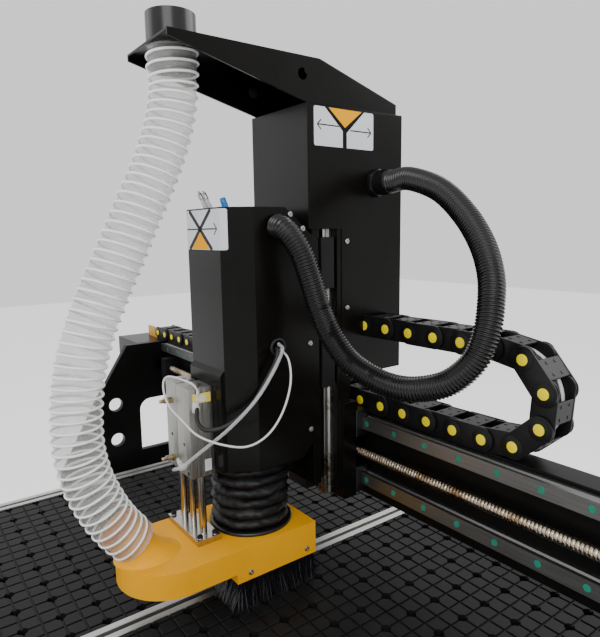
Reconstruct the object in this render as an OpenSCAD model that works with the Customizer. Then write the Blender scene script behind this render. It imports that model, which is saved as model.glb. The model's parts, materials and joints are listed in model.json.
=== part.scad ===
// Gantry CNC router: welded base, moving gantry, cross carriage with a column,
// a short vertical slide with the spindle, and a floating dust shoe.
// Millimetres. +Z up, X along the gantry, Y along the table, floor at Z = 0.
// The spindle axis stands at X = 0, Y = 0 at rest.

/* [Table] */
// Height of the table surface above the floor
bed_top = 860; // [800:10:950]
// Length of the table along Y
bed_len = 1300; // [1100:20:1340]
// Distance between the T-slot strips
strip_pitch = 508; // [480:1:512]
// Width of a T-slot strip
strip_w = 32; // [28:1:40]
// Thickness of the table boards and strips
board_t = 25; // [20:1:30]

/* [Base] */
// Length of the base side tubes
base_len = 1500; // [1460:20:1700]
// Distance from the centre plane to the outer face of a side tube
side_x = 700; // [690:5:740]
// Width of a side tube
side_w = 100; // [80:5:120]
// Height of a side tube
side_h = 160; // [140:5:180]
// Wall of every welded tube
tube_wall = 5; // [3:0.5:8]
// Height of the tubes that carry the table boards
bearer_h = 60; // [50:5:80]
// Height of the cross tubes
cross_h = 60; // [50:5:80]
// Leg section
leg_w = 80; // [60:5:90]
// Height of a levelling foot under its leg
foot_h = 60; // [50:5:90]

/* [Gantry] */
// Gap between the table and the beam
beam_gap = 111; // [100:1:130]
// Height of the beam's front tube
beam_h = 145; // [138:1:170]
// Depth of the beam's front tube
beam_d = 40; // [35:1:60]
// Depth of the beam's rear tube
beam_back_d = 60; // [40:5:70]
// Y of the beam's front face
beam_y = 180; // [176:1:186]
// Distance between the two X rails
rail_gap = 94.4; // [92:0.2:97]
// Height of the upper rail's centre below the beam's top
rail_drop = 15.2; // [12:0.2:18]
// Thickness of a gantry side plate
plate_t = 18; // [12:1:25]
// Gantry rest position shown by the two side plate holes: radius
sight_hole_r = 18; // [10:1:20]

/* [Guides] */
// Width of a profile rail
rail_w = 20; // [20:1:22]
// Height of a profile rail
rail_h = 17.5; // [16:0.5:18]
// Hole pitch of a profile rail
rail_pitch = 60; // [60:5:80]
// Height from a rail's seat to the top of its block
block_h = 30; // [29:0.5:31]
// Width of a bearing block
block_w = 44; // [40:1:46]
// Length of a bearing block
block_l = 77.5; // [70:0.5:80]
// Gap between a block and its rail
block_fit = 0.1; // [0.05:0.05:0.3]
// Ball screw radius
screw_r = 8; // [7:0.5:8]
// Journal radius at a screw's ends
journal_r = 6; // [5:0.5:6]
// Radial running clearance
run_fit = 0.05; // [0.02:0.01:0.1]
// Side of a servo motor
motor_w = 60; // [56:1:60]
// Length of a servo motor
motor_l = 84; // [70:1:90]

/* [Column] */
// Width of the column hood
hood_w = 148; // [146:1:156]
// Depth of the column hood
hood_d = 191; // [180:1:210]
// Height of the hood's top above the beam's top
hood_rise = 473; // [465:1:520]
// Sheet thickness of hood and spindle cover
sheet = 1.5; // [1.2:0.1:2]
// Thickness of the carriage plate
carriage_t = 28; // [24:1:28]
// Half width of the carriage plate at the X blocks
carriage_half = 86; // [84:1:95]

/* [Spindle slide] */
// Thickness of the slide plate
slide_t = 15; // [12:1:16]
// Depth of the spindle cover in front of the spindle axis
cover_front = 65.5; // [64:0.5:70]
// Half width of the cover's front face
cover_face_half = 49.5; // [44:0.5:52]
// Height of the cover
cover_h = 377; // [370:1:380]
// Radius of the spindle body
spindle_r = 50; // [40:1:50]
// Radius of the spindle shaft
shaft_r = 12; // [10:0.5:14]
// Bore of the collet
collet_bore_r = 6.35; // [3:0.05:6.5]

/* [Dust shoe] */
// Half width of the shoe
shoe_half = 76; // [72:1:80]
// Distance from the spindle axis to the centre of the round end
shoe_reach = 140; // [130:1:150]
// Height of the shoe's top above the table
shoe_top = 97; // [95:1:99]
// Depth of the shoe over the brush
shoe_deep = 52; // [48:1:54]
// Depth of the shoe's duct
shoe_shallow = 37; // [34:1:40]
// Wall of the shoe
shoe_wall = 3; // [2:0.5:4]
// Clearance of the brush tips over the table
brush_gap = 3; // [3:1:6]
// Radius of the bellows over its pleats
bellows_r = 62; // [58:1:63]
// Number of pleats
pleats = 7; // [5:1:8]
// Centre distance of the two guide rods
rod_span = 64; // [60:1:66]
// Radius of a guide rod
rod_r = 6; // [5:0.5:6]

/* [Hoses] */
// Outer radius of the dust hose
hose_r = 33; // [31:0.5:34]
// Inner radius of the duct collar
duct_r = 29; // [27:0.5:29]
// Outer radius of the wire conduit
conduit_r = 17; // [15:0.5:17]
// Bend radius of the cable chain
chain_bend = 62.5; // [60:0.5:65]
// Height of a chain link
chain_h = 32; // [30:1:33]
// Width of a chain link
chain_w = 50; // [40:1:50]

/* [Hidden] */
$fn = 48;

// Table and base
strip_centres = [-strip_pitch, 0, strip_pitch];
board_bottom = bed_top - board_t;
bearer_bottom = board_bottom - bearer_h;
side_top = bearer_bottom;
side_bottom = side_top - side_h;
side_in = side_x - side_w;
cross_bottom = side_top - cross_h;
leg_y = base_len/2 - 110;
leg_x = side_in - leg_w/2;
bearer_w = 60;
bearers = [-strip_pitch + 28, -strip_pitch/2, 0, strip_pitch/2, strip_pitch - 28];

// Y guides and drive
y_rail_len = base_len - 10;
y_rail_z = side_top - 30;
y_screw_x = side_x - side_w/2;
y_screw_z = side_bottom - motor_w/2;
y_front_support = -base_len/2 + 50;
y_rear_support = base_len/2 - 160;
support_t = 25;
y_block_at = [-10, 190];
y_nut_at = [60, 120];

// Gantry
plate_in = side_x + block_h;
plate_out = plate_in + plate_t;
beam_bottom = bed_top + beam_gap;
beam_top = beam_bottom + beam_h;
rail_hi = beam_top - rail_drop;
rail_lo = rail_hi - rail_gap;
x_rail_len = 2*plate_in - 4;
plugs = floor((x_rail_len/2 - 20)/rail_pitch);
x_screw_y = beam_y - 20;
x_screw_z = (rail_hi + rail_lo)/2;
support_x = plate_in - 75;
cover_out = plate_out + 142;

// Carriage and column
car_back = beam_y - block_h;
car_front = car_back - carriage_t;
car_bottom = beam_bottom + 11;
car_neck = beam_top + 24;
car_top = beam_top + 364;
x_block_x = 47;
hood_front = 67.5;
hood_back = hood_front + hood_d;
hood_top = beam_top + hood_rise;
hood_half = hood_w/2;
hood_in = hood_half - sheet;
hood_bottom = beam_top + 63;
slot_top = beam_top + 295;
slot_back = car_front + 8.5;
z_screw_y = car_front - 16;

// Slide
slide_back = car_front - block_h;
slide_front = slide_back - slide_t;
slide_half = hood_in - 4.5;
cover_top = slot_top + 31;
cover_bottom = cover_top - cover_h;
cover_side_y = -26;
cover_back_y = slide_front + 7.5;
cut_y = 58;
cut_z = 50;
low_cut = 33;
z_rail_x = 50;
z_blocks = [beam_top + 90, beam_top + 244];
spindle_low = cover_bottom - 30;
spindle_high = cover_top - 42;

// Shoe and its cylinder
shoe_z = bed_top + shoe_top;
shoe_back = 72;
shoe_front = -70;
cyl_x = -20;
cyl_half = 42;
cyl_back = -cover_front - 6;
cyl_front = cyl_back - 38;
cyl_y = (cyl_back + cyl_front)/2;
cyl_low = cover_bottom - 9;
cyl_high = cyl_low + 134;
foot_plate_t = 9;
bellows_high = cover_bottom - 4;
port_tilt = 38;
port_end = [0, -190, shoe_z + 24];

// Hose arm
arm_half = 67;
arm_t = 3;
arm_tip = -136;
arm_bend = 97;
arm_top = hood_top + 63;
arm_root = hood_back - 6.5;
collar_y = -100;
collar_r = duct_r + 2;
collar_top = arm_top + 39;

// Chain
chain_y = beam_y - 4;
chain_low = beam_top + chain_h/2;
chain_high = chain_low + 2*chain_bend;
chain_fixed = -plate_out - 32;
chain_turn = 325;

// Cord routes, end to end
hose_route = [
  [0, collar_y, arm_top - 30], [0, -101, 1591], [0, -111, 1545],
  [0, -132, 1491], [0, -158, 1439], [0, -183, 1387], [0, -208, 1337], [0, -231, 1287],
  [0, -247, 1237], [0, -255, 1185], [0, -256, 1131], [0, -248, 1088], [0, -236, 1055],
  [0, -222, 1026], [0, -206, 1001], port_end
];
conduit_route = [
  [110, 200, 1481], [147, 200, 1482], [206, 197, 1462], [255, 190, 1426], [291, 180, 1387],
  [313, 168, 1351], [324, 155, 1321], [329, 142, 1287], [322, 130, 1250], [297, 115, 1220],
  [262, 100, 1206], [229, 88, 1204], [196, 76, 1213], [166, 63, 1232], [144, 52, 1263],
  [131, 42, 1300], [123, 32, 1342], [115, 24, 1376], [105, 16, 1398], [92, 11, 1411], [74.5, 10, 1416]
];
air_route = [
  [77.2, 8.5, 1249], [94, 3, 1243], [106, -22, 1217], [104, -50, 1182], [88, -82, 1146],
  [58, -112, 1110], [30, -127, 1084], [10, -131, 1074], [2, -125, 1071], [2, -117.7, 1070.6]
];
sensor_route = [
  [24.5, -96, 1187.2], [20, -103, 1198], [-4, -121, 1206], [-18, -127, 1200], [-12, -131, 1184],
  [6, -131, 1166], [34, -124, 1150], [62, -116, 1136], [88, -94, 1126], [106, -66, 1122],
  [118, -40, 1136], [120, -16, 1164], [114, 2, 1200], [99, 10, 1229], [77.2, 11.5, 1241]
];
valve_route = [
  [29.3, -100.5, 1163], [42, -107, 1150], [58, -104, 1141], [72, -86, 1143], [80, -64, 1154],
  [84, -42, 1172], [87, -20, 1203], [87, -4, 1227], [83, 2.5, 1240], [77.2, 4.5, 1243.5]
];

module slab(x0, x1, y0, y1, z0, z1)
  translate([min(x0, x1), min(y0, y1), z0]) cube([abs(x1 - x0), abs(y1 - y0), z1 - z0]);
module tube_x(x0, x1, y0, y1, z0, z1) difference() {
  slab(x0, x1, y0, y1, z0, z1);
  slab(x0 - 1, x1 + 1, y0 + tube_wall, y1 - tube_wall, z0 + tube_wall, z1 - tube_wall);
}
module tube_y(x0, x1, y0, y1, z0, z1) difference() {
  slab(x0, x1, y0, y1, z0, z1);
  slab(x0 + tube_wall, x1 - tube_wall, y0 - 1, y1 + 1, z0 + tube_wall, z1 - tube_wall);
}
module tube_z(x0, x1, y0, y1, z0, z1) difference() {
  slab(x0, x1, y0, y1, z0, z1);
  slab(x0 + tube_wall, x1 - tube_wall, y0 + tube_wall, y1 - tube_wall, z0 - 1, z1 + 1);
}
module both_sides() {
  children();
  mirror([1, 0, 0]) children();
}
module along_x() rotate([0, 90, 0]) children();
module along_y() rotate([-90, 0, 0]) children();

// Rail and block outlines: the seat is the line y = 0 and the rail grows along +y.
module rail_outline() {
  half = rail_w/2;
  polygon([[-half, 0], [half, 0], [half, 6], [half - 2.5, 8], [half - 2.5, 11],
    [half, 13], [half, rail_h], [-half, rail_h], [-half, 13], [2.5 - half, 11],
    [2.5 - half, 8], [-half, 6]]);
}
module block_outline() difference() {
  translate([-block_w/2, 4.6]) square([block_w, block_h - 4.6]);
  translate([-rail_w/2 - block_fit, 0]) square([rail_w + 2*block_fit, rail_h + block_fit]);
}
// Points along a route: Catmull-Rom through the given points, n steps a span.
function span_point(p, i, t) =
  let (a = p[max(i - 1, 0)], b = p[i], c = p[i + 1], d = p[min(i + 2, len(p) - 1)])
  0.5*(2*b + (c - a)*t + (2*a - 5*b + 4*c - d)*t*t + (3*b - a - 3*c + d)*t*t*t);
function route(p, n) = concat(
  [for (i = [0:len(p) - 2]) for (k = [0:n - 1]) span_point(p, i, k/n)], [p[len(p) - 1]]);
function unit(v) = v/norm(v);
function heading(q, i) = unit(q[min(i + 1, len(q) - 1)] - q[max(i - 1, 0)]);
function ring(c, t, side, r, s) = let (u = unit(cross(side, t)), v = cross(t, u))
  [for (j = [0:s - 1]) c + r*(cos(360*j/s)*u + sin(360*j/s)*v)];
// A round cord along a route. side is a direction that the route never points along.
module cord(p, r, side, n = 4, s = 10, first = undef, last = undef) {
  q = route(p, n);
  m = len(q);
  pts = [for (i = [0:m - 1])
    let (t = i == 0 && first != undef ? first : i == m - 1 && last != undef ? last : heading(q, i))
    each ring(q[i], t, side, r, s)];
  sides = [for (i = [0:m - 2]) for (j = [0:s - 1])
    [i*s + j, (i + 1)*s + j, (i + 1)*s + (j + 1)%s, i*s + (j + 1)%s]];
  polyhedron(points = pts, convexity = 8, faces = concat(
    [[for (j = [0:s - 1]) j]], sides, [[for (j = [0:s - 1]) (m - 1)*s + s - 1 - j]]));
}

// Base
module closed_tube_y(x0, x1, y1, z0, z1) difference() {
  slab(x0, x1, -y1, y1, z0, z1);
  slab(x0 + tube_wall, x1 - tube_wall, tube_wall - y1, y1 - tube_wall, z0 + tube_wall, z1 - tube_wall);
}
module long_tubes() color([0.10, 0.10, 0.10]) {
  both_sides() closed_tube_y(side_in, side_x, base_len/2, side_bottom, side_top);
  for (x = bearers)
    closed_tube_y(x - bearer_w/2, x + bearer_w/2, bed_len/2, bearer_bottom, board_bottom);
  both_sides()
    tube_y(leg_x - 30, leg_x + 30, -leg_y + leg_w/2, leg_y - leg_w/2, foot_h + 80, foot_h + 140);
}
module cross_tubes() color([0.10, 0.10, 0.10]) {
  for (y = [-leg_y, -leg_y/3, leg_y/3, leg_y])
    tube_x(-side_in, side_in, y - leg_w/2, y + leg_w/2, cross_bottom, side_top);
  for (y = [-leg_y, leg_y])
    tube_x(-leg_x + leg_w/2, leg_x - leg_w/2, y - 30, y + 30, foot_h + 80, foot_h + 140);
}
module legs() color([0.10, 0.10, 0.10]) both_sides() for (y = [-leg_y, leg_y]) difference() {
  slab(leg_x - leg_w/2, leg_x + leg_w/2, y - leg_w/2, y + leg_w/2, foot_h - 8, cross_bottom);
  slab(leg_x - leg_w/2 + tube_wall, leg_x + leg_w/2 - tube_wall, y - leg_w/2 + tube_wall,
    y + leg_w/2 - tube_wall, foot_h, cross_bottom + 1);
}
module levelling_feet() color([0.2, 0.2, 0.2]) both_sides() for (y = [-leg_y, leg_y])
  translate([leg_x, y, 0]) {
    cylinder(r = 35, h = 12);
    translate([0, 0, 12]) cylinder(r = 10, h = foot_h - 20);
    translate([0, 0, 24]) cylinder(r = 15, h = 10, $fn = 6);
  }
module bed_boards() color([0.16, 0.16, 0.17]) both_sides()
  slab(strip_w/2, strip_pitch - strip_w/2, -bed_len/2, bed_len/2, board_bottom, bed_top);
module tslot_strips() color([0.75, 0.76, 0.78]) for (x = strip_centres)
  translate([x, bed_len/2, board_bottom]) rotate([90, 0, 0]) linear_extrude(bed_len) difference() {
    translate([-strip_w/2, 0]) square([strip_w, board_t]);
    translate([-4.25, 12]) square([8.5, board_t]);
    translate([-8.5, 8]) square([17, 9]);
  }
module y_rails() color([0.7, 0.7, 0.72]) both_sides() translate([side_x, 0, y_rail_z])
  rotate([90, 90, 0]) linear_extrude(y_rail_len, center = true) rail_outline();
module y_screw_supports() color([0.12, 0.12, 0.12]) both_sides()
  for (y = [y_front_support, y_rear_support]) difference() {
    slab(y_screw_x - 28, y_screw_x + 28, y, y + support_t, y_screw_z - 22, side_bottom);
    translate([y_screw_x, y - 1, y_screw_z]) along_y() cylinder(r = journal_r + run_fit, h = support_t + 2);
  }
module y_motors() color([0.08, 0.08, 0.08]) both_sides() translate([0, y_rear_support + 73, 0])
  difference() {
    slab(y_screw_x - motor_w/2, y_screw_x + motor_w/2, 0, motor_l, y_screw_z - motor_w/2, side_bottom);
    translate([y_screw_x, -1, y_screw_z]) along_y() cylinder(r = journal_r + 2, h = 12);
  }
module y_screw() translate([y_screw_x, 0, y_screw_z]) {
  low = y_front_support + support_t + 1;
  high = y_rear_support - 1;
  translate([0, low, 0]) along_y() cylinder(r = screw_r, h = high - low);
  translate([0, y_front_support + 2, 0]) along_y()
    cylinder(r = journal_r, h = y_rear_support + 80 - y_front_support);
  translate([0, y_rear_support + support_t + 6, 0]) along_y() cylinder(r = 15, h = 36);
}
module y_screw_left() color([0.72, 0.72, 0.7]) mirror([1, 0, 0]) y_screw();
module y_screw_right() color([0.72, 0.72, 0.7]) y_screw();

// Gantry
module side_plate_outline() difference() {
  polygon([[67, beam_top], [285, beam_top], [285, bed_top + 60], [310, side_top + 25],
    [310, side_top - 75], [150, side_top - 75], [150, y_screw_z - 35], [30, y_screw_z - 35],
    [30, side_top - 75], [-120, side_top - 75], [-120, side_top + 25], [-20, bed_top + 120]]);
  for (z = [bed_top + 100, bed_top + 3]) translate([29, z]) circle(r = sight_hole_r);
  translate([94, side_top + 45]) square([146, beam_bottom - side_top - 84]);
  translate([124, side_top + 60]) square([86, beam_bottom - side_top - 69]);
  for (y = [124, 210]) translate([y, beam_bottom - 39]) circle(r = 30);
}
module gantry_plate() difference() {
  translate([plate_in, 0, 0]) rotate([90, 0, 90]) linear_extrude(plate_t) side_plate_outline();
  translate([plate_in - 1, x_screw_y, x_screw_z]) along_x() cylinder(r = 14, h = plate_t + 2);
}
module gantry_plates() color([0.07, 0.07, 0.07]) both_sides() gantry_plate();
module gantry_beam() color([0.08, 0.08, 0.08]) {
  tube_x(-plate_in, plate_in, beam_y, beam_y + beam_d, beam_bottom, beam_top);
  tube_x(-plate_in, plate_in, beam_y + beam_d, beam_y + beam_d + beam_back_d,
    beam_bottom + 14, beam_top - 30);
}
module x_rails() color([0.8, 0.8, 0.82]) for (z = [rail_lo, rail_hi]) difference() {
  translate([0, beam_y, z]) rotate([0, 90, 0]) rotate([0, 0, 180])
    linear_extrude(x_rail_len, center = true) rail_outline();
  for (i = [-plugs:plugs]) translate([i*rail_pitch - 24, beam_y - rail_h - 1, z])
    along_y() cylinder(r = 4.75, h = 3);
}
module x_rail_plugs() color([0.1, 0.6, 0.45]) for (z = [rail_lo, rail_hi]) for (i = [-plugs:plugs])
  translate([i*rail_pitch - 24, beam_y - rail_h, z]) along_y() cylinder(r = 4.7, h = 2);
module x_screw_supports() color([0.1, 0.1, 0.1]) both_sides() difference() {
  slab(support_x, support_x + support_t, x_screw_y - 20, beam_y, x_screw_z - 27, x_screw_z + 27);
  translate([support_x - 1, x_screw_y, x_screw_z]) along_x()
    cylinder(r = journal_r + run_fit, h = support_t + 2);
}
module x_motor() color([0.08, 0.08, 0.08]) difference() {
  translate([plate_out, x_screw_y - motor_w/2, x_screw_z - motor_w/2]) cube([motor_l, motor_w, motor_w]);
  translate([plate_out - 1, x_screw_y, x_screw_z]) along_x() cylinder(r = journal_r + 2, h = 12);
}
module x_screw() color([0.75, 0.74, 0.7]) translate([0, x_screw_y, x_screw_z]) {
  along_x() cylinder(r = screw_r, h = 2*support_x - 2, center = true);
  translate([-support_x - support_t + 2, 0, 0]) along_x()
    cylinder(r = journal_r, h = support_x + support_t - 2 + plate_out + 8);
  translate([support_x + support_t + 5, 0, 0]) along_x() cylinder(r = 13, h = 36);
}
module y_bearing_blocks() color([0.6, 0.6, 0.62]) both_sides() for (y = y_block_at)
  translate([side_x, y, y_rail_z]) rotate([90, 90, 0]) linear_extrude(block_l, center = true)
    block_outline();
module y_nut_brackets() color([0.12, 0.12, 0.12]) both_sides() difference() {
  slab(y_screw_x - 24, plate_in, y_nut_at[0], y_nut_at[1], y_screw_z - 20, y_screw_z + 24);
  translate([y_screw_x, y_nut_at[0] - 1, y_screw_z]) along_y()
    cylinder(r = screw_r + run_fit, h = y_nut_at[1] - y_nut_at[0] + 2);
}
module end_covers() color([0.07, 0.07, 0.07]) both_sides() difference() {
  slab(plate_out, cover_out, 100, beam_y + 44, beam_bottom + 29, beam_top);
  slab(plate_out - 1, cover_out - 2, 102, beam_y + 42, beam_bottom + 31, beam_top - 2);
}
module chain_bracket() color([0.9, 0.65, 0.1]) {
  slab(chain_fixed - 70, chain_fixed, chain_y, chain_y + chain_w, beam_top, beam_top + 4);
  slab(chain_fixed - 70, chain_fixed - 20, chain_y, chain_y + 3, beam_top + 4, beam_top + 30);
  slab(chain_fixed - 4, chain_fixed, chain_y, chain_y + chain_w, beam_top + 4, beam_top + 30);
}
module x_cable_chain() color([0.1, 0.1, 0.1]) {
  half = chain_h/2;
  slab(chain_fixed, chain_turn, chain_y, chain_y + chain_w, chain_low - half, chain_low + half);
  slab(hood_half, chain_turn, chain_y, chain_y + chain_w, chain_high - half, chain_high + half);
  intersection() {
    translate([chain_turn, chain_y, chain_low + chain_bend]) along_y() difference() {
      cylinder(r = chain_bend + half, h = chain_w);
      translate([0, 0, -1]) cylinder(r = chain_bend - half, h = chain_w + 2);
    }
    slab(chain_turn, chain_turn + 100, chain_y, chain_y + chain_w, beam_top, chain_high + half);
  }
}

// Carriage
module carriage_plate() color([0.06, 0.06, 0.06]) {
  slab(-carriage_half, carriage_half, car_front, car_back, car_bottom, car_neck);
  slab(-hood_in, hood_in, car_front, car_back, car_neck, car_top);
  difference() {
    slab(-hood_in + 10, hood_in - 10, z_screw_y - motor_w/2, car_back, car_top, car_top + 8);
    translate([0, z_screw_y, car_top - 1]) cylinder(r = journal_r + 3, h = 10);
  }
}
module x_bearing_blocks() color([0.6, 0.6, 0.62]) for (x = [-x_block_x, x_block_x])
  for (z = [rail_lo, rail_hi]) translate([x, beam_y, z]) rotate([0, 90, 0]) rotate([0, 0, 180])
    linear_extrude(block_l, center = true) block_outline();
module x_nut_block() color([0.5, 0.5, 0.52]) difference() {
  slab(-30, 30, car_back, car_back + 25, x_screw_z - 22, x_screw_z + 22);
  translate([-31, x_screw_y, x_screw_z]) along_x() cylinder(r = screw_r + run_fit, h = 62);
}
module z_rails() color([0.8, 0.8, 0.82]) for (x = [-z_rail_x, z_rail_x])
  translate([x, car_front, car_bottom + 3]) mirror([0, 1, 0]) linear_extrude(car_top - car_bottom - 33)
    rail_outline();
module z_screw_supports() color([0.12, 0.12, 0.12])
  for (z = [car_bottom + 3, car_top - 60]) difference() {
    slab(-25, 25, z_screw_y - 13, car_front, z, z + 20);
    translate([0, z_screw_y, z - 1]) cylinder(r = journal_r + run_fit, h = 22);
  }
module z_motor() color([0.08, 0.08, 0.08]) difference() {
  slab(-motor_w/2, motor_w/2, z_screw_y - motor_w/2, z_screw_y + motor_w/2, car_top + 8,
    car_top + 8 + 76);
  translate([0, z_screw_y, car_top]) cylinder(r = journal_r + 2, h = 20);
}
module hood_shell() color([0.05, 0.05, 0.05]) {
  slab(-hood_half, hood_half, hood_front, hood_front + sheet, slot_top, hood_top - sheet);
  slab(-hood_half, hood_half, hood_front, hood_back, hood_top - sheet, hood_top);
  slab(-hood_half, hood_half, hood_back - sheet, hood_back, hood_bottom, hood_top - sheet);
}
module hood_side_outline() difference() {
  translate([hood_front + sheet, hood_bottom]) square([hood_d - 2*sheet, hood_top - sheet - hood_bottom]);
  translate([hood_front - 1, hood_bottom - 1])
    square([slot_back - hood_front + 1, slot_top - hood_bottom + 1]);
}
module hood_sides() color([0.05, 0.05, 0.05]) {
  difference() {
    translate([hood_in, 0, 0]) rotate([90, 0, 90]) linear_extrude(sheet) hood_side_outline();
    translate([hood_in - 1, 200, hood_top - 108]) along_x() cylinder(r = 12, h = sheet + 2);
  }
  translate([-hood_half, 0, 0]) rotate([90, 0, 90]) linear_extrude(sheet) hood_side_outline();
}
module button_x(y, z) translate([hood_half, y, z]) along_x() {
  cylinder(r = 4, h = 1.2);
  translate([0, 0, 1.2]) cylinder(r = 2.8, h = 0.8);
}
module hood_screws() color([0.35, 0.35, 0.35]) both_sides()
  for (z = [slot_top - 19, slot_top - 122, slot_top - 227]) button_x(slot_back + 10, z);
module hose_arm() color([0.05, 0.05, 0.05]) {
  both_sides() difference() {
    translate([arm_half - arm_t, 0, 0]) rotate([90, 0, 90]) linear_extrude(arm_t) polygon([
      [arm_tip, arm_top], [arm_bend, arm_top], [arm_root, hood_top + 17], [arm_root, hood_top],
      [hood_front + 6, hood_top], [arm_tip, arm_top - 9]]);
    translate([arm_half - arm_t - 1, hood_front - 2, arm_top - 25]) along_x() cylinder(r = 8, h = arm_t + 2);
  }
  difference() {
    translate([-arm_half, 0, 0]) rotate([90, 0, 90]) linear_extrude(2*arm_half) polygon([
      [arm_tip, arm_top], [arm_bend, arm_top], [arm_root, hood_top + 17],
      [arm_root, hood_top + 17 - arm_t], [arm_bend, arm_top - arm_t], [arm_tip, arm_top - arm_t]]);
    translate([0, collar_y, arm_top - 10]) cylinder(r = collar_r, h = 20);
  }
  both_sides()
    slab(arm_half - 22, arm_half - arm_t, hood_front + 20, arm_root - 8, hood_top, hood_top + arm_t);
}
module hose_collar() color([0.06, 0.06, 0.06]) translate([0, collar_y, 0]) difference() {
  union() {
    translate([0, 0, arm_top - 30]) cylinder(r = collar_r, h = collar_top - arm_top + 30);
    translate([0, 0, arm_top]) cylinder(r = collar_r + 2, h = collar_top - arm_top);
  }
  translate([0, 0, arm_top - 40]) cylinder(r = duct_r, h = collar_top - arm_top + 50);
}
module dust_hose() color([0.85, 0.87, 0.88])
  cord(hose_route, hose_r, [1, 0, 0], n = 4, s = 12, first = [0, 0, -1],
    last = [0, sin(port_tilt), -cos(port_tilt)]);
module conduit_gland() color([0.12, 0.12, 0.12]) translate([hood_half, 200, hood_top - 108]) along_x() {
  cylinder(r = 22, h = 10, $fn = 6);
  translate([0, 0, 10]) cylinder(r = 19, h = 26);
}
module wire_conduit() color([0.1, 0.1, 0.1])
  cord(conduit_route, conduit_r, [0, 1, 0], n = 4, s = 10, first = [1, 0, 0], last = [-1, 0, 0]);
module z_screw() color([0.75, 0.74, 0.7]) translate([0, z_screw_y, 0]) {
  low = car_bottom + 24;
  high = car_top - 61;
  translate([0, 0, low]) cylinder(r = screw_r, h = high - low);
  translate([0, 0, car_bottom + 4]) cylinder(r = journal_r, h = car_top + 16 - car_bottom);
  translate([0, 0, car_top - 37]) cylinder(r = 12, h = 34);
}

// Vertical slide
module z_plate() color([0.6, 0.6, 0.62])
  slab(-slide_half, slide_half, slide_front, slide_back, car_bottom + 30, cover_top - 2);
module z_bearing_blocks() color([0.6, 0.6, 0.62]) for (x = [-z_rail_x, z_rail_x]) for (z = z_blocks)
  translate([x, car_front, z]) mirror([0, 1, 0]) linear_extrude(block_l, center = true) block_outline();
module z_nut_block() color([0.5, 0.5, 0.52]) difference() {
  slab(-24, 24, slide_back, slide_back + 26, beam_top + 144, beam_top + 190);
  translate([0, z_screw_y, beam_top + 143]) cylinder(r = screw_r + run_fit, h = 48);
}
module cover_plan(grow = 0) polygon([
  [-hood_half - grow, cover_side_y], [-cover_face_half - grow/2, -cover_front - grow],
  [cover_face_half + grow/2, -cover_front - grow], [hood_half + grow, cover_side_y]]);
module spindle_cover() color([0.05, 0.05, 0.05]) {
  translate([0, 0, cover_bottom]) linear_extrude(cover_h) difference() {
    cover_plan();
    translate([0, 0.01]) cover_plan(-sheet);
  }
  difference() {
    translate([0, 0, cover_top - sheet]) linear_extrude(sheet) union() {
      cover_plan(-sheet);
      translate([-hood_in, cover_side_y]) square([2*hood_in, cover_back_y - cut_y - cover_side_y]);
    }
    for (p = [[-39, -40], [0, -28]]) translate([p[0], p[1], cover_top - 5]) cylinder(r = 5, h = 10);
  }
  translate([0, -cover_front, cover_bottom]) rotate([90, 0, 90])
    linear_extrude(2*cover_face_half - 4, center = true)
      polygon([[0, 0], [-6, 0], [-6, 143], [0, 150]]);
}
module cover_side_outline() polygon([
  [cover_side_y, cover_bottom], [cover_back_y - low_cut, cover_bottom],
  [cover_back_y, cover_bottom + low_cut], [cover_back_y, cover_top - cut_z],
  [cover_back_y - cut_y, cover_top], [cover_side_y, cover_top]]);
module cover_side() {
  translate([hood_in, 0, 0]) rotate([90, 0, 90]) linear_extrude(sheet) cover_side_outline();
  slab(slide_half, hood_in, slide_front, cover_back_y, cover_bottom + low_cut + 6, cover_top - cut_z - 6);
}
module cover_sides() color([0.05, 0.05, 0.05]) {
  difference() {
    cover_side();
    translate([hood_in - 1, 8, cover_top - 198]) along_x() cylinder(r = 9, h = sheet + 2);
    translate([hood_in - 1, 10, cover_top - 26]) along_x() cylinder(r = 14, h = sheet + 2);
  }
  mirror([1, 0, 0]) cover_side();
}
module cover_screws() color([0.35, 0.35, 0.35]) both_sides()
  for (p = [[34, cover_top - 10], [56, cover_top - 30], [67, cover_top - 200], [67, cover_bottom + 43]])
    button_x(p[0], p[1]);
module spindle_body() color([0.15, 0.15, 0.16]) difference() {
  union() {
    translate([0, 0, spindle_low]) cylinder(r = spindle_r, h = spindle_high - spindle_low);
    translate([0, 0, spindle_low - 20]) cylinder(r = 30, h = 20);
  }
  translate([0, 0, spindle_low - 21]) cylinder(r = shaft_r + run_fit, h = spindle_high - spindle_low);
}
module spindle_clamps() color([0.6, 0.6, 0.62]) for (z = [cover_bottom + 35, cover_top - 112])
  difference() {
    union() {
      translate([0, 0, z]) cylinder(r = spindle_r + 8, h = 50);
      slab(-spindle_r - 8, spindle_r + 8, 0, slide_front, z, z + 50);
    }
    translate([0, 0, z - 1]) cylinder(r = spindle_r, h = 52);
  }
module spindle_shaft() color([0.8, 0.8, 0.82]) difference() {
  translate([0, 0, spindle_low - 35]) cylinder(r = shaft_r, h = spindle_high - spindle_low + 5);
  translate([0, 0, spindle_low - 36]) cylinder(r = 9, h = 26);
}
module collet() color([0.7, 0.7, 0.7]) difference() {
  translate([0, 0, spindle_low - 50]) cylinder(r = 9, h = 40);
  translate([0, 0, spindle_low - 51]) cylinder(r = collet_bore_r, h = 42);
}
module collet_nut() color([0.3, 0.3, 0.3]) difference() {
  translate([0, 0, spindle_low - 56]) cylinder(r = 17, h = 30);
  translate([0, 0, spindle_low - 57]) cylinder(r = collet_bore_r + 0.5, h = 10);
  translate([0, 0, spindle_low - 50]) cylinder(r = 9, h = 20);
  translate([0, 0, spindle_low - 35]) cylinder(r = shaft_r, h = 12);
}
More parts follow.
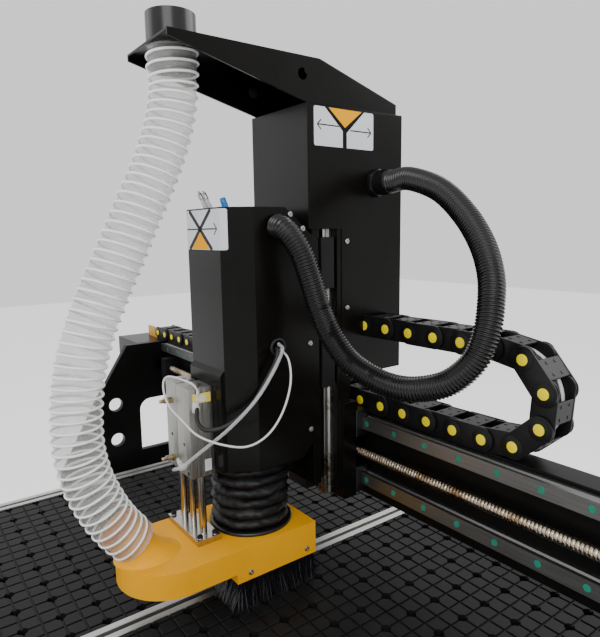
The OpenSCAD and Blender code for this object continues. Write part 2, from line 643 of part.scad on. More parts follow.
module line_fittings() {
  color([0.7, 0.7, 0.65]) translate([-39, -40, cover_top - 6]) cylinder(r = 5, h = 16);
  color([0.1, 0.35, 0.8]) translate([0, -28, cover_top - 6]) cylinder(r = 5, h = 14);
  color([0.7, 0.6, 0.3]) {
    for (z = [cyl_low + 14, cyl_high - 30])
      translate([-45, cyl_front - 16, z]) along_y() cylinder(r = 4, h = 16);
    translate([2, cyl_front - 8, cyl_low + 14.6]) along_y() cylinder(r = 4, h = 8);
  }
  color([0.2, 0.2, 0.2]) translate([hood_in, 8, cover_top - 198]) along_x() {
    cylinder(r = 9, h = sheet);
    translate([0, 0, sheet]) cylinder(r = 12, h = 3);
  }
}

// Floating shoe
module rod_places() for (x = [cyl_x - rod_span/2, cyl_x + rod_span/2]) translate([x, cyl_y, 0]) children();
module air_cylinder() color([0.8, 0.8, 0.8]) difference() {
  slab(cyl_x - cyl_half, cyl_x + cyl_half, cyl_front, cyl_back, cyl_low, cyl_high);
  rod_places() translate([0, 0, cyl_low - 1]) cylinder(r = rod_r + run_fit, h = 125);
  translate([cyl_x, cyl_y, cyl_low - 1]) cylinder(r = 5 + run_fit, h = 125);
}
module position_sensor() color([0.85, 0.75, 0.2]) {
  slab(cyl_x + cyl_half, cyl_x + cyl_half + 5, cyl_front + 6, cyl_back - 4, cyl_high - 22, cyl_high - 8);
  translate([24.5, -96, cyl_high - 8]) cylinder(r = 2, h = 5);
  slab(cyl_x + cyl_half, cyl_x + cyl_half + 7, cyl_front + 4, cyl_front + 14, cyl_high - 32, cyl_high - 22);
}
module cylinder_rods() color([0.8, 0.8, 0.8]) {
  slab(cyl_x - 53, cyl_x + 53, cyl_front, cyl_back, shoe_z, shoe_z + foot_plate_t);
  rod_places() translate([0, 0, shoe_z + foot_plate_t]) cylinder(r = rod_r, h = 148);
  translate([cyl_x, cyl_y, shoe_z + foot_plate_t]) cylinder(r = 5, h = 148);
  for (x = [cyl_x - 46, cyl_x + 46]) for (y = [cyl_front + 7, cyl_back - 7])
    translate([x, y, shoe_z + foot_plate_t]) cylinder(r = 4, h = 4);
}
module shoe_plan(inset) {
  translate([0, -shoe_reach]) circle(r = shoe_half - inset);
  translate([inset - shoe_half, -shoe_reach]) square([2*(shoe_half - inset), shoe_reach + shoe_back - inset]);
}
module port_axis() translate(port_end) rotate([port_tilt, 0, 0]) children();
module shoe_shell() color([0.95, 0.65, 0.05]) {
  difference() {
    union() {
      translate([0, 0, shoe_z - shoe_shallow]) linear_extrude(shoe_shallow) shoe_plan(0);
      slab(-shoe_half, shoe_half, shoe_front, shoe_back, shoe_z - shoe_deep, shoe_z);
    }
    translate([0, 0, shoe_z - shoe_shallow + shoe_wall])
      linear_extrude(shoe_shallow - 2*shoe_wall) shoe_plan(shoe_wall);
    slab(shoe_wall - shoe_half, shoe_half - shoe_wall, shoe_front + shoe_wall, shoe_back - shoe_wall,
      shoe_z - shoe_deep - 1, shoe_z - shoe_shallow + shoe_wall + 1);
    translate([0, 0, shoe_z - 5]) cylinder(r = spindle_r + 2, h = 10);
    port_axis() translate([0, 0, -48]) cylinder(r = duct_r, h = 40);
  }
  intersection() {
    port_axis() translate([0, 0, -70.3]) difference() {
      cylinder(r = hose_r + 1, h = 70);
      translate([0, 0, -1]) cylinder(r = duct_r, h = 72);
    }
    slab(-60, 60, -260, -20, shoe_z - 1, shoe_z + 80);
  }
}
module shoe_screws() color([0.5, 0.5, 0.5]) both_sides() for (y = [shoe_front + 22, shoe_back - 18])
  translate([shoe_half - hood_half, 0, 0]) button_x(y, shoe_z - shoe_deep + 12);
module brush_skirt() color([0.08, 0.08, 0.09]) difference() {
  slab(shoe_wall - shoe_half, shoe_half - shoe_wall, shoe_front + shoe_wall, shoe_back - shoe_wall,
    bed_top + brush_gap, shoe_z - shoe_deep + 14);
  slab(shoe_wall - shoe_half + 9, shoe_half - shoe_wall - 9, shoe_front + shoe_wall + 9,
    shoe_back - shoe_wall - 9, bed_top, shoe_z);
}
module bellows() color([0.18, 0.18, 0.2]) {
  pleat_h = (bellows_high - shoe_z - 5)/pleats;
  inner = spindle_r + 3;
  rotate_extrude() polygon(concat(
    [[inner, shoe_z], [bellows_r + 3, shoe_z], [bellows_r + 3, shoe_z + 4]],
    [for (i = [0:pleats - 1]) each [[inner + 1.5, shoe_z + 5 + i*pleat_h],
      [bellows_r, shoe_z + 5 + (i + 0.5)*pleat_h]]],
    [[inner + 1.5, bellows_high], [inner, bellows_high]],
    [for (i = [pleats - 1:-1:0]) each [[bellows_r - 2, shoe_z + 5 + (i + 0.5)*pleat_h],
      [inner, shoe_z + 5 + i*pleat_h]]]));
}
module air_tubes() color([0.8, 0.82, 0.84])
  cord(air_route, 2.5, [0, -0.75, 0.65], n = 4, s = 8, first = [1, 0, 0], last = [0, 1, 0]);
module sensor_cable() color([0.85, 0.85, 0.85]) 
  cord(sensor_route, 1.5, [0.51, -0.69, 0.51], n = 4, s = 8, first = [0, 0, 1], last = [-1, 0, 0]);
module valve_cable() color([0.1, 0.1, 0.1]) 
  cord(valve_route, 3, [0.33, -0.67, 0.66], n = 4, s = 8, first = [1, 0, 0], last = [-1, 0, 0]);

long_tubes();
cross_tubes();
legs();
levelling_feet();
bed_boards();
tslot_strips();
y_rails();
y_screw_supports();
y_motors();
y_screw_left();
y_screw_right();
gantry_plates();
gantry_beam();
x_rails();
x_rail_plugs();
x_screw_supports();
x_motor();
y_bearing_blocks();
y_nut_brackets();
end_covers();
chain_bracket();
x_cable_chain();
x_screw();
carriage_plate();
x_bearing_blocks();
x_nut_block();
z_rails();
z_screw_supports();
z_motor();
hood_shell();
hood_sides();
hood_screws();
hose_arm();
hose_collar();
dust_hose();
conduit_gland();
wire_conduit();
z_screw();
z_plate();
z_bearing_blocks();
z_nut_block();
spindle_cover();
cover_sides();
cover_screws();
spindle_body();
spindle_clamps();
line_fittings();
air_cylinder();
position_sensor();
air_tubes();
sensor_cable();
valve_cable();
spindle_shaft();
collet();
collet_nut();
cylinder_rods();
shoe_shell();
shoe_screws();
brush_skirt();
bellows();
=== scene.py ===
# %% [markdown]
# # A gantry CNC router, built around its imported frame
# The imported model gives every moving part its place. This lesson keeps the parts whose shape is already
# right, rounds their edges and gives them real finishes, and models the rest: the gridded table, the clear
# hose, the corrugated conduit, the cable chain, the pleated bellows and the brush.

import json
import math
import random

import bmesh
import bpy
from mathutils import Matrix, Vector

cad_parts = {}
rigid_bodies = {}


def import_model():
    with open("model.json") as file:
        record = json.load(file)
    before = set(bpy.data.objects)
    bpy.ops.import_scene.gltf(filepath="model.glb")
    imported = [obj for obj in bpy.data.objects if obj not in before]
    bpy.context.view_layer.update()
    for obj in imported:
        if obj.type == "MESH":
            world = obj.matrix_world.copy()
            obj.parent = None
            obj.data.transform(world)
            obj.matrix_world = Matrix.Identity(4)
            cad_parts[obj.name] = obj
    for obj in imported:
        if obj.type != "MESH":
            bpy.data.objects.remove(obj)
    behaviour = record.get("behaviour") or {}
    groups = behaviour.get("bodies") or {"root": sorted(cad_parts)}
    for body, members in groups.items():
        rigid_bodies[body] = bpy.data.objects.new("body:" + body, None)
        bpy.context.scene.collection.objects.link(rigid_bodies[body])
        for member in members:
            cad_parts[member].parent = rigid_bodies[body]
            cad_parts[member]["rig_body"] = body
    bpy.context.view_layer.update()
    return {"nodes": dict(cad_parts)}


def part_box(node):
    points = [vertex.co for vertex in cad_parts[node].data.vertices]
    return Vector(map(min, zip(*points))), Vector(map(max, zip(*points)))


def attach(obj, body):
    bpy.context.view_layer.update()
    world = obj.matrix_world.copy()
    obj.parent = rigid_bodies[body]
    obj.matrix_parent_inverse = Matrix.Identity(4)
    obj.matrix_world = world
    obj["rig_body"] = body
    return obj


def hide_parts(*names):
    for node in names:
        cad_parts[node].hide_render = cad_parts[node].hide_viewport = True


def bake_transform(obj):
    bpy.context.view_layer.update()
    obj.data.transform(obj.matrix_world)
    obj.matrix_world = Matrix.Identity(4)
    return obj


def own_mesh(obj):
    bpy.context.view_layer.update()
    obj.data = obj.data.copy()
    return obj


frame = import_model()
MM = 0.001
chance = random.Random(7)


# %% [markdown]
# Places come from the frame. `low` and `high` give a node's corners, so a new piece is put where the
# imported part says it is, and nothing is measured twice.

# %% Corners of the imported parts
def low(node):
    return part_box(node)[0]


def high(node):
    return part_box(node)[1]


def middle(node):
    return (low(node) + high(node)) / 2


def spot(x, y, z):
    """A place in millimetres, as the drawings give it."""
    return Vector((x, y, z)) * MM


print("table top", high("bed_boards").z, "beam", low("gantry_beam").z, high("gantry_beam").z)

# %% [markdown]
# ## Camera, light and floor
# The camera comes first, because the cords are checked against what it sees. It stands on the operator's
# side, a little above the spindle, and is turned about its own axis by a small roll.

# %% Camera
EYE = spot(739, -439.5, 1406)
AZIMUTH = 53.68
PITCH = 8.59
ROLL = -0.87
LENS = 34.08

bpy.ops.object.select_all(action="DESELECT")
bpy.ops.object.camera_add(location=EYE)
camera = bpy.context.object
camera.name = "camera"
turned = Matrix.Rotation(math.radians(AZIMUTH), 4, "Z") @ Matrix.Rotation(math.radians(90 - PITCH), 4, "X")
turned = turned @ Matrix.Rotation(math.radians(ROLL), 4, "Z")
camera.matrix_world = Matrix.Translation(EYE) @ turned
camera.data.lens = LENS
camera.data.sensor_width = 36
camera.data.sensor_fit = "HORIZONTAL"
camera.data.clip_start = 0.02
camera.data.clip_end = 60
bpy.context.scene.camera = camera

# %% [markdown]
# Black paint shows only what it reflects. Three large soft lamps give the hood and the rails long, even
# highlights, and a pale world fills the rest.


# %% Lamps and world
def softbox(name, place, target, size, power):
    bpy.ops.object.select_all(action="DESELECT")
    bpy.ops.object.light_add(type="AREA", location=place)
    lamp = bpy.context.object
    lamp.name = name
    lamp.data.shape = "RECTANGLE"
    lamp.data.size = size[0]
    lamp.data.size_y = size[1]
    lamp.data.energy = power
    lamp.rotation_euler = (Vector(target) - Vector(place)).to_track_quat("-Z", "Y").to_euler()
    return lamp


softbox("key_lamp", (2.6, -2.2, 3.4), (0, 0, 1.1), (2.6, 2.2), 75)
softbox("fill_lamp", (-2.6, -2.6, 2.4), (0, 0, 1.1), (2.4, 2.4), 22)
softbox("rear_lamp", (1.2, 3.2, 3.2), (0.2, 0, 1.0), (3.0, 1.6), 55)

world = bpy.data.worlds.new("pale_room")
bpy.context.scene.world = world
world.use_nodes = True
world.node_tree.nodes["Background"].inputs["Color"].default_value = (1, 1, 1, 1)
world.node_tree.nodes["Background"].inputs["Strength"].default_value = 1.05

# %% [markdown]
# ## Finishes
# A small class wraps a shader socket so that patterns are written as sums. `Paint.node` makes any other
# node: its settings are set first, then its sockets.


# %% Shader sums
class Wave:
    """A number or colour on its way through the shader."""

    def __init__(self, paint, socket):
        self.paint = paint
        self.socket = socket

    def sum(self, kind, other):
        return self.paint.node("ShaderNodeMath", {"operation": kind}, {0: self, 1: other})

    def __add__(self, other):
        return self.sum("ADD", other)

    __radd__ = __add__

    def __mul__(self, other):
        return self.sum("MULTIPLY", other)

    __rmul__ = __mul__


class Paint:
    """One finish: a material whose nodes are made by name."""

    def __init__(self, name, color, roughness, metallic=0.0):
        self.material = bpy.data.materials.new(name)
        self.material.use_nodes = True
        self.nodes = self.material.node_tree.nodes
        self.links = self.material.node_tree.links
        self.surface = self.nodes["Principled BSDF"]
        self.set("Base Color", (*color, 1))
        self.set("Roughness", roughness)
        self.set("Metallic", metallic)
        self.material.diffuse_color = (*color, 1)

    def set(self, socket, value):
        self.surface.inputs[socket].default_value = value

    def feed(self, socket, wave):
        self.links.new(wave.socket, self.surface.inputs[socket])

    def node(self, kind, settings=None, sockets=None, out=0):
        made = self.nodes.new(kind)
        for key, value in (settings or {}).items():
            if key == "stops":
                self.stops(made, value)
            else:
                setattr(made, key, value)
        for key, value in (sockets or {}).items():
            if isinstance(value, Wave):
                self.links.new(value.socket, made.inputs[key])
            else:
                made.inputs[key].default_value = value
        return Wave(self, made.outputs[out])

    def stops(self, ramp, values):
        elements = ramp.color_ramp.elements
        while len(elements) < len(values):
            elements.new(0.5)
        for element, (place, shade) in zip(elements, values):
            element.position = place
            element.color = (*shade, 1) if isinstance(shade, tuple) else (shade, shade, shade, 1)

    def place(self, stretch=(1, 1, 1)):
        where = self.node("ShaderNodeTexCoord", out=3)
        return self.node("ShaderNodeMapping", {}, {"Vector": where, "Scale": stretch})

    def noise(self, scale, detail=4, stretch=(1, 1, 1), rough=0.55):
        return self.node(
            "ShaderNodeTexNoise",
            {},
            {"Vector": self.place(stretch), "Scale": scale, "Detail": detail, "Roughness": rough},
        )

    def ramp(self, wave, *values):
        return self.node("ShaderNodeValToRGB", {"stops": values}, {"Fac": wave})

    def bump(self, height, strength, distance):
        return self.node(
            "ShaderNodeBump", {}, {"Height": height, "Strength": strength, "Distance": distance}
        )


# %% [markdown]
# Powder coat is a sprayed plastic skin: nearly smooth, with a fine orange-peel ripple and slow changes of
# gloss where hands and rags have been. Two scales of noise do it, one for the ripple and one for the wear.


# %% Painted finishes
def powder_coat(name, color, gloss, ripple=0.12, wear=0.16, speck=420):
    paint = Paint(name, color, gloss)
    smear = paint.noise(6, 5)
    paint.feed("Roughness", smear * wear + (gloss - wear / 2))
    worn = tuple(min(1, c * 1.6 + 0.002) for c in color)
    paint.feed("Base Color", paint.ramp(paint.noise(11, 8, rough=0.7), (0.35, color), (0.85, worn)))
    paint.feed("Normal", paint.bump(paint.noise(speck, 2), ripple, 0.0006))
    paint.set("Specular IOR Level", 0.13)
    return paint


frame_black = powder_coat("frame_black", (0.0034, 0.0032, 0.003), 0.36)
sheet_black = powder_coat("sheet_black", (0.0024, 0.0021, 0.0017), 0.25, 0.09, 0.12, 620)
# Black oxide finish; the same black also serves as painted shade on the floor of the air cylinder's slot.
oxide_and_shade_black = powder_coat("oxide_and_shade_black", (0.008, 0.008, 0.009), 0.42)
motor_black = powder_coat("motor_black", (0.007, 0.007, 0.008), 0.4)
spindle_grey = powder_coat("spindle_grey", (0.05, 0.05, 0.054), 0.35)

# %% [markdown]
# Bare metal is told by its grain. Brushing is noise stretched along one axis, and a bolt-on part that lives
# near oil gets brown stains where the oil has dried.


# %% Bare metals
def brushed(name, color, gloss, along, stain=0.0, stain_color=(0.12, 0.07, 0.03)):
    stretch = [60, 60, 60]
    stretch["XYZ".index(along)] = 1.5
    metal = Paint(name, color, gloss, 1.0)
    grain = metal.noise(14, 6, tuple(stretch))
    metal.feed("Roughness", grain * 0.22 + (gloss - 0.08))
    pale = tuple(min(1, c * 1.12) for c in color)
    dark = tuple(c * 0.82 for c in color)
    tone = metal.ramp(grain, (0.3, dark), (0.7, pale))
    if stain:
        mask = metal.ramp(metal.noise(26, 6, rough=0.7), (0.6 - stain * 0.4, 0.0), (0.62, 1.0))
        tone = metal.node(
            "ShaderNodeMix", {"data_type": "RGBA"}, {0: mask, 6: tone, 7: (*stain_color, 1)}, out=2
        )
    metal.feed("Base Color", tone)
    metal.feed("Normal", metal.bump(grain, 0.08, 0.0003))
    return metal


strip_metal = brushed("strip_metal", (0.62, 0.62, 0.60), 0.36, "Y")
x_rail_metal = brushed("x_rail_metal", (0.24, 0.24, 0.236), 0.4, "X")
y_rail_metal = brushed("y_rail_metal", (0.58, 0.58, 0.57), 0.26, "Y")
z_rail_metal = brushed("z_rail_metal", (0.50, 0.49, 0.46), 0.28, "Z", 0.15)
screw_metal = brushed("screw_metal", (0.46, 0.40, 0.31), 0.24, "X", 0.35, (0.22, 0.13, 0.06))
block_metal = brushed("block_metal", (0.09, 0.09, 0.095), 0.36, "X")
milled_metal = brushed("milled_metal", (0.52, 0.53, 0.54), 0.38, "Z")
cylinder_metal = brushed("cylinder_metal", (0.34, 0.335, 0.315), 0.42, "Z")
zinc = brushed("zinc", (0.42, 0.42, 0.42), 0.3, "X")
chrome = brushed("chrome", (0.50, 0.48, 0.45), 0.16, "Z")
brass = brushed("brass", (0.62, 0.46, 0.22), 0.3, "Y", 0.3)
collet_metal = brushed("collet_metal", (0.55, 0.55, 0.57), 0.28, "Z")

# %% [markdown]
# Moulded plastics differ in gloss and in how light passes. The hose wall is nearly clear, so its alpha is
# low and its gloss is high, and the helix round it is solid white.


# %% Plastics and rubber
def moulded(name, color, gloss, grain=300, depth=0.05, mottle=0.25, shine=0.4):
    plastic = Paint(name, color, gloss)
    cloud = plastic.noise(18, 6, rough=0.65)
    darker = tuple(c * (1 - mottle) for c in color)
    paler = tuple(min(1, c * (1 + mottle) + 0.002) for c in color)
    plastic.feed("Base Color", plastic.ramp(cloud, (0.3, darker), (0.75, paler)))
    plastic.feed("Roughness", cloud * 0.15 + (gloss - 0.07))
    plastic.feed("Normal", plastic.bump(plastic.noise(grain, 3), depth, 0.0005))
    plastic.set("Specular IOR Level", shine)
    return plastic


board_black = moulded("board_black", (0.0085, 0.0086, 0.009), 0.5, 260, 0.25, 0.35, 0.2)
chain_black = moulded("chain_black", (0.005, 0.005, 0.0055), 0.4, 500, 0.1, 0.25, 0.25)
cap_yellow = moulded("cap_yellow", (0.92, 0.74, 0.0), 0.55, 400, 0.05, 0.05, 0.15)
bracket_amber = moulded("bracket_amber", (0.62, 0.30, 0.02), 0.4, 300, 0.06, 0.15)
plug_green = moulded("plug_green", (0.01, 0.20, 0.13), 0.45)
conduit_black = moulded("conduit_black", (0.005, 0.005, 0.0055), 0.24, 200, 0.03, shine=0.45)
gland_black = moulded("gland_black", (0.006, 0.006, 0.006), 0.36, shine=0.35)
helix_white = moulded("helix_white", (0.88, 0.89, 0.88), 0.25, 200, 0.02, 0.03)
cable_white = moulded("cable_white", (0.66, 0.66, 0.64), 0.4, 300, 0.03, 0.06)
cable_black = moulded("cable_black", (0.014, 0.014, 0.015), 0.5, 900, 0.3)
fitting_grey = moulded("fitting_grey", (0.55, 0.56, 0.55), 0.4, 300, 0.03, 0.08)
blue_plastic = moulded("blue_plastic", (0.01, 0.16, 0.50), 0.35, 300, 0.03, 0.1)
label_white = moulded("label_white", (0.60, 0.63, 0.66), 0.45, 400, 0.02, 0.04, 0.25)
label_amber = moulded("label_amber", (0.80, 0.36, 0.0), 0.5, 400, 0.02, 0.05, 0.05)
label_black = moulded("label_black", (0.004, 0.004, 0.004), 0.5, shine=0.2)
tag_yellow = moulded("tag_yellow", (0.80, 0.62, 0.10), 0.4, 400, 0.02, 0.12)
bristle_black = moulded("bristle_black", (0.007, 0.007, 0.010), 0.2, shine=0.9)
# Black rubber for the grommet; the same black also serves as painted shade in the arm's spare hole.
rubber_and_shade_black = moulded("rubber_and_shade_black", (0.007, 0.007, 0.007), 0.55)

hose_clear = Paint("hose_clear", (0.50, 0.51, 0.49), 0.08)
hose_clear.set("Alpha", 0.36)
hose_clear.set("Coat Weight", 0.6)
hose_clear.feed("Roughness", hose_clear.noise(40, 4) * 0.2 + 0.03)
hose_clear.material.surface_render_method = "BLENDED"

tube_clear = Paint("tube_clear", (0.60, 0.62, 0.63), 0.08)
tube_clear.set("Alpha", 0.42)
tube_clear.feed("Roughness", tube_clear.noise(60, 3) * 0.15 + 0.04)

# %% [markdown]
# The shoe is moulded in an amber plastic. Fine layer lines run round its sides, so its bump is a wave along
# the height, broken by a little noise.

# %% Shoe plastic and bellows cloth
shoe_yellow = Paint("shoe_yellow", (0.84, 0.40, 0.004), 0.42)
shoe_yellow.set("Specular IOR Level", 0.13)
layers = shoe_yellow.node(
    "ShaderNodeTexWave",
    {"wave_type": "BANDS", "bands_direction": "Z"},
    {"Vector": shoe_yellow.place(), "Scale": 260.0, "Distortion": 0.6, "Detail": 2.0},
)
shoe_yellow.feed("Normal", shoe_yellow.bump(layers, 0.12, 0.0005))
shoe_yellow.feed(
    "Base Color",
    shoe_yellow.ramp(shoe_yellow.noise(9, 5), (0.3, (0.80, 0.35, 0.001)), (0.75, (0.90, 0.42, 0.002))),
)
shoe_yellow.feed("Roughness", shoe_yellow.noise(30, 4) * 0.2 + 0.3)

bellows_cloth = Paint("bellows_cloth", (0.005, 0.005, 0.006), 0.42)
bellows_cloth.set("Specular IOR Level", 0.3)
crease = bellows_cloth.noise(34, 7, (1, 1, 1.6), 0.62)
bellows_cloth.feed("Normal", bellows_cloth.bump(crease, 0.7, 0.004))
bellows_cloth.feed("Roughness", crease * 0.35 + 0.25)
bellows_cloth.feed(
    "Base Color", bellows_cloth.ramp(crease, (0.35, (0.003, 0.003, 0.004)), (0.8, (0.012, 0.012, 0.014)))
)

floor_paint = Paint("floor_pale", (0.93, 0.93, 0.93), 0.8)
floor_paint.set("Emission Color", (1, 1, 1, 1))
floor_paint.set("Emission Strength", 0.35)

# %% [markdown]
# The floor is one pale sheet. It glows a little by itself, so that it stays pale under the dark machine.

# %% Floor
bpy.ops.object.select_all(action="DESELECT")
bpy.ops.mesh.primitive_plane_add(size=24, location=(0, 0, 0))
floor = bpy.context.object
floor.name = "studio_floor"
floor.data.materials.append(floor_paint.material)

# %% [markdown]
# ## Modelling helpers
# Everything selected is changed by an operator, so each helper deselects first. `rest` ends a piece: its
# place goes into its mesh, it gets its finish and its body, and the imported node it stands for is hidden.


# %% Helpers for every piece
def pick(piece):
    bpy.ops.object.select_all(action="DESELECT")
    piece.select_set(True)
    bpy.context.view_layer.objects.active = piece


def join(pieces, name):
    bpy.ops.object.select_all(action="DESELECT")
    for piece in pieces:
        piece.select_set(True)
    bpy.context.view_layer.objects.active = pieces[0]
    if len(pieces) > 1:
        bpy.ops.object.join()
    pieces[0].name = name
    return pieces[0]


def apply_all(piece):
    pick(piece)
    for modifier in list(piece.modifiers):
        bpy.ops.object.modifier_apply(modifier=modifier.name)
    return piece


def soften(piece, width, segments=2, angle=40):
    bevel = piece.modifiers.new("edge", "BEVEL")
    bevel.width = width * MM
    bevel.segments = segments
    bevel.limit_method = "ANGLE"
    bevel.angle_limit = math.radians(angle)
    bevel.harden_normals = False
    return apply_all(piece)


def settle(piece):
    """Put a piece's place, turn and scale into its mesh."""
    pick(piece)
    bpy.ops.object.transform_apply(location=True, rotation=True, scale=True)
    return piece


def tint(piece, finish):
    piece.data.materials.clear()
    piece.data.materials.append(finish.material)
    return piece


def rest(piece, name, body, finish=None, stands_for=(), smooth=35, flat=False):
    settle(piece)
    if finish is not None:
        tint(piece, finish)
    if smooth:
        bpy.ops.object.shade_smooth_by_angle(angle=math.radians(smooth))
    if flat:
        even = piece.modifiers.new("even", "WEIGHTED_NORMAL")
        even.keep_sharp = True
        even.weight = 80
        apply_all(piece)
    piece.name = name
    piece.data.name = name
    if body:
        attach(piece, body)
    if stands_for:
        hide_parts(*stands_for)
    return piece


def home(node):
    """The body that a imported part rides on."""
    return frame["nodes"][node]["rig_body"]


def copy_of(node, name):
    """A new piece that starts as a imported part's mesh."""
    piece = bpy.data.objects.new(name, frame["nodes"][node].data.copy())
    bpy.context.scene.collection.objects.link(piece)
    pick(piece)
    return piece


def twin_of(piece):
    """A second piece with a mesh of its own."""
    twin = piece.copy()
    twin.data = piece.data.copy()
    bpy.context.scene.collection.objects.link(twin)
    return twin


def piece_from(shape, name):
    """A new piece from a bmesh, which is then let go."""
    mesh = bpy.data.meshes.new(name)
    shape.to_mesh(mesh)
    shape.free()
    piece = bpy.data.objects.new(name, mesh)
    bpy.context.scene.collection.objects.link(piece)
    return piece


# %% [markdown]
# Two starts serve most fittings: a bar between two corners and a turned bar between two places. Both take
# millimetres and break their own edges, because no made edge is perfectly sharp.


# %% Bars
def block(corner_a, corner_b, edge=1.0, segments=2):
    """A bar between two corners in millimetres, with its edges broken."""
    bpy.ops.object.select_all(action="DESELECT")
    bpy.ops.mesh.primitive_cube_add(size=1, location=(Vector(corner_a) + Vector(corner_b)) * MM / 2)
    made = bpy.context.object
    made.scale = [abs(b - a) * MM for a, b in zip(corner_a, corner_b)]
    settle(made)
    if edge:
        soften(made, edge, segments)
    return made


def rod(start, end, radius, sides=32, edge=0.0, radius_end=None):
    """A turned bar from one place to another, in millimetres."""
    a, b = Vector(start) * MM, Vector(end) * MM
    bpy.ops.object.select_all(action="DESELECT")
    bpy.ops.mesh.primitive_cone_add(
        vertices=sides,
        radius1=radius * MM,
        radius2=(radius if radius_end is None else radius_end) * MM,
        depth=(b - a).length,
        location=(a + b) / 2,
        rotation=(b - a).to_track_quat("Z", "Y").to_euler(),
    )
    made = settle(bpy.context.object)
    if edge:
        soften(made, edge, 2)
    return made


# %% [markdown]
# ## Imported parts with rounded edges
# Machined plate has its corners broken by a file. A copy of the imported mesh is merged, its flat faces are
# dissolved back to whole ones, and a small bevel catches the light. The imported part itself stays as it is.


# %% Rounded copies
def rounded(node, edge, finish, segments=2):
    piece = copy_of(node, node + "_skin")
    bpy.ops.object.mode_set(mode="EDIT")
    bpy.ops.mesh.select_all(action="SELECT")
    bpy.ops.mesh.remove_doubles(threshold=0.00002)
    bpy.ops.mesh.dissolve_limited(angle_limit=math.radians(0.6))
    bpy.ops.object.mode_set(mode="OBJECT")
    soften(piece, edge, segments)
    return rest(piece, node + "_skin", home(node), finish, (node,), flat=True)


for node, edge in (("long_tubes", 3), ("cross_tubes", 3), ("legs", 3), ("gantry_beam", 1.6)):
    rounded(node, edge, frame_black, 3)
rounded("gantry_plates", 1.0, frame_black)
rounded("end_covers", 1.2, sheet_black)
rounded("levelling_feet", 1.2, oxide_and_shade_black)
rounded("tslot_strips", 0.5, strip_metal)
rounded("y_rails", 0.5, y_rail_metal)
rounded("x_rails", 0.5, x_rail_metal)
rounded("x_rail_plugs", 0.25, plug_green)
rounded("z_rails", 0.5, z_rail_metal)
rounded("y_screw_supports", 1.0, oxide_and_shade_black)
rounded("x_screw_supports", 1.2, oxide_and_shade_black)
rounded("z_screw_supports", 1.0, oxide_and_shade_black)
rounded("y_nut_brackets", 1.5, oxide_and_shade_black)
rounded("carriage_plate", 1.2, sheet_black)
rounded("x_nut_block", 1.5, milled_metal)
rounded("z_nut_block", 1.5, milled_metal)
rounded("z_plate", 1.2, sheet_black)
rounded("spindle_clamps", 1.0, milled_metal)
rounded("spindle_body", 1.5, spindle_grey)
rounded("spindle_shaft", 0.5, collet_metal)
rounded("collet", 0.3, collet_metal)
rounded("chain_bracket", 0.6, bracket_amber)
rounded("hose_collar", 0.5, conduit_black)
rounded("hood_shell", 0.8, sheet_black)
rounded("hood_sides", 0.8, sheet_black)
rounded("hose_arm", 0.8, sheet_black)
rounded("spindle_cover", 1.2, sheet_black)
rounded("cover_sides", 0.8, sheet_black)
print("rounded copies made")


# %% [markdown]
# ## Lines that bend
# A hose, a conduit and a cable are one idea: rings set square to a line. The line is a smooth curve through
# a few chosen points, and each ring takes its upright from the ring before it, so the wall never twists.


# %% A smooth line and its rings
def flowing(points, step):
    """A smooth line through points in millimetres, cut at even steps, and its length in metres."""
    spots = [spot(*point) for point in points]
    spots = [2 * spots[0] - spots[1], *spots, 2 * spots[-1] - spots[-2]]
    fine = []
    for a, b, c, d in zip(spots, spots[1:], spots[2:], spots[3:]):
        for k in range(24):
            t = k / 24
            square = 2 * a - 5 * b + 4 * c - d
            cube = 3 * b - a - 3 * c + d
            fine.append((2 * b + (c - a) * t + square * t**2 + cube * t**3) / 2)
    fine.append(spots[-2])
    run = [0.0]
    for a, b in zip(fine, fine[1:]):
        run.append(run[-1] + (b - a).length)
    count = round(run[-1] / (step * MM))
    line, at = [], 0
    for i in range(count + 1):
        goal = run[-1] * i / count
        while at < len(run) - 2 and run[at + 1] < goal:
            at += 1
        line.append(fine[at].lerp(fine[at + 1], (goal - run[at]) / (run[at + 1] - run[at])))
    return line, run[-1]


def uprights(line):
    """Each point of the line with two directions square to it."""
    found, side = [], None
    for i, here in enumerate(line):
        ahead = (line[min(i + 1, len(line) - 1)] - line[max(i - 1, 0)]).normalized()
        side = ahead.orthogonal() if side is None else side - ahead * side.dot(ahead)
        side.normalize()
        found.append((here, side.copy(), ahead.cross(side)))
    return found


def loft(name, rings, ends=True):
    """A skin over rings of points, each ring going the same way round as the others."""
    skin = bmesh.new()
    made = [[skin.verts.new(point) for point in ring] for ring in rings]
    for a, b in zip(made, made[1:]):
        for k in range(len(a)):
            n = (k + 1) % len(a)
            skin.faces.new((a[k], a[n], b[n], b[k]))
    if ends:
        skin.faces.new(list(reversed(made[0])))
        skin.faces.new(made[-1])
    return piece_from(skin, name)


def circle(centre, side, up, radius, count):
    """Places round a centre, in the plane of two directions. Everything is in metres."""
    angles = [math.tau * n / count for n in range(count)]
    return [centre + (side * math.cos(angle) + up * math.sin(angle)) * radius for angle in angles]


def tube(name, line, radius_at, sides):
    """A round skin along a line. radius_at gives millimetres from the run in millimetres and the angle."""
    rings, run = [], 0.0
    for i, (here, side, up) in enumerate(uprights(line)):
        run += (here - line[i - 1]).length / MM if i else 0
        ring = []
        for k in range(sides):
            angle = math.tau * k / sides
            ring.append(here + (side * math.cos(angle) + up * math.sin(angle)) * radius_at(run, angle) * MM)
        rings.append(ring)
    return loft(name, rings)


# %% [markdown]
# ## The dust hose
# This kind of hose is a clear film welded to a hard white helix. The film is one loft whose radius swells
# where the helix lies, and the helix is a second loft whose line winds round the first. The top of the hose
# is stretched over the pipe collar, so both radii grow along the cuff.

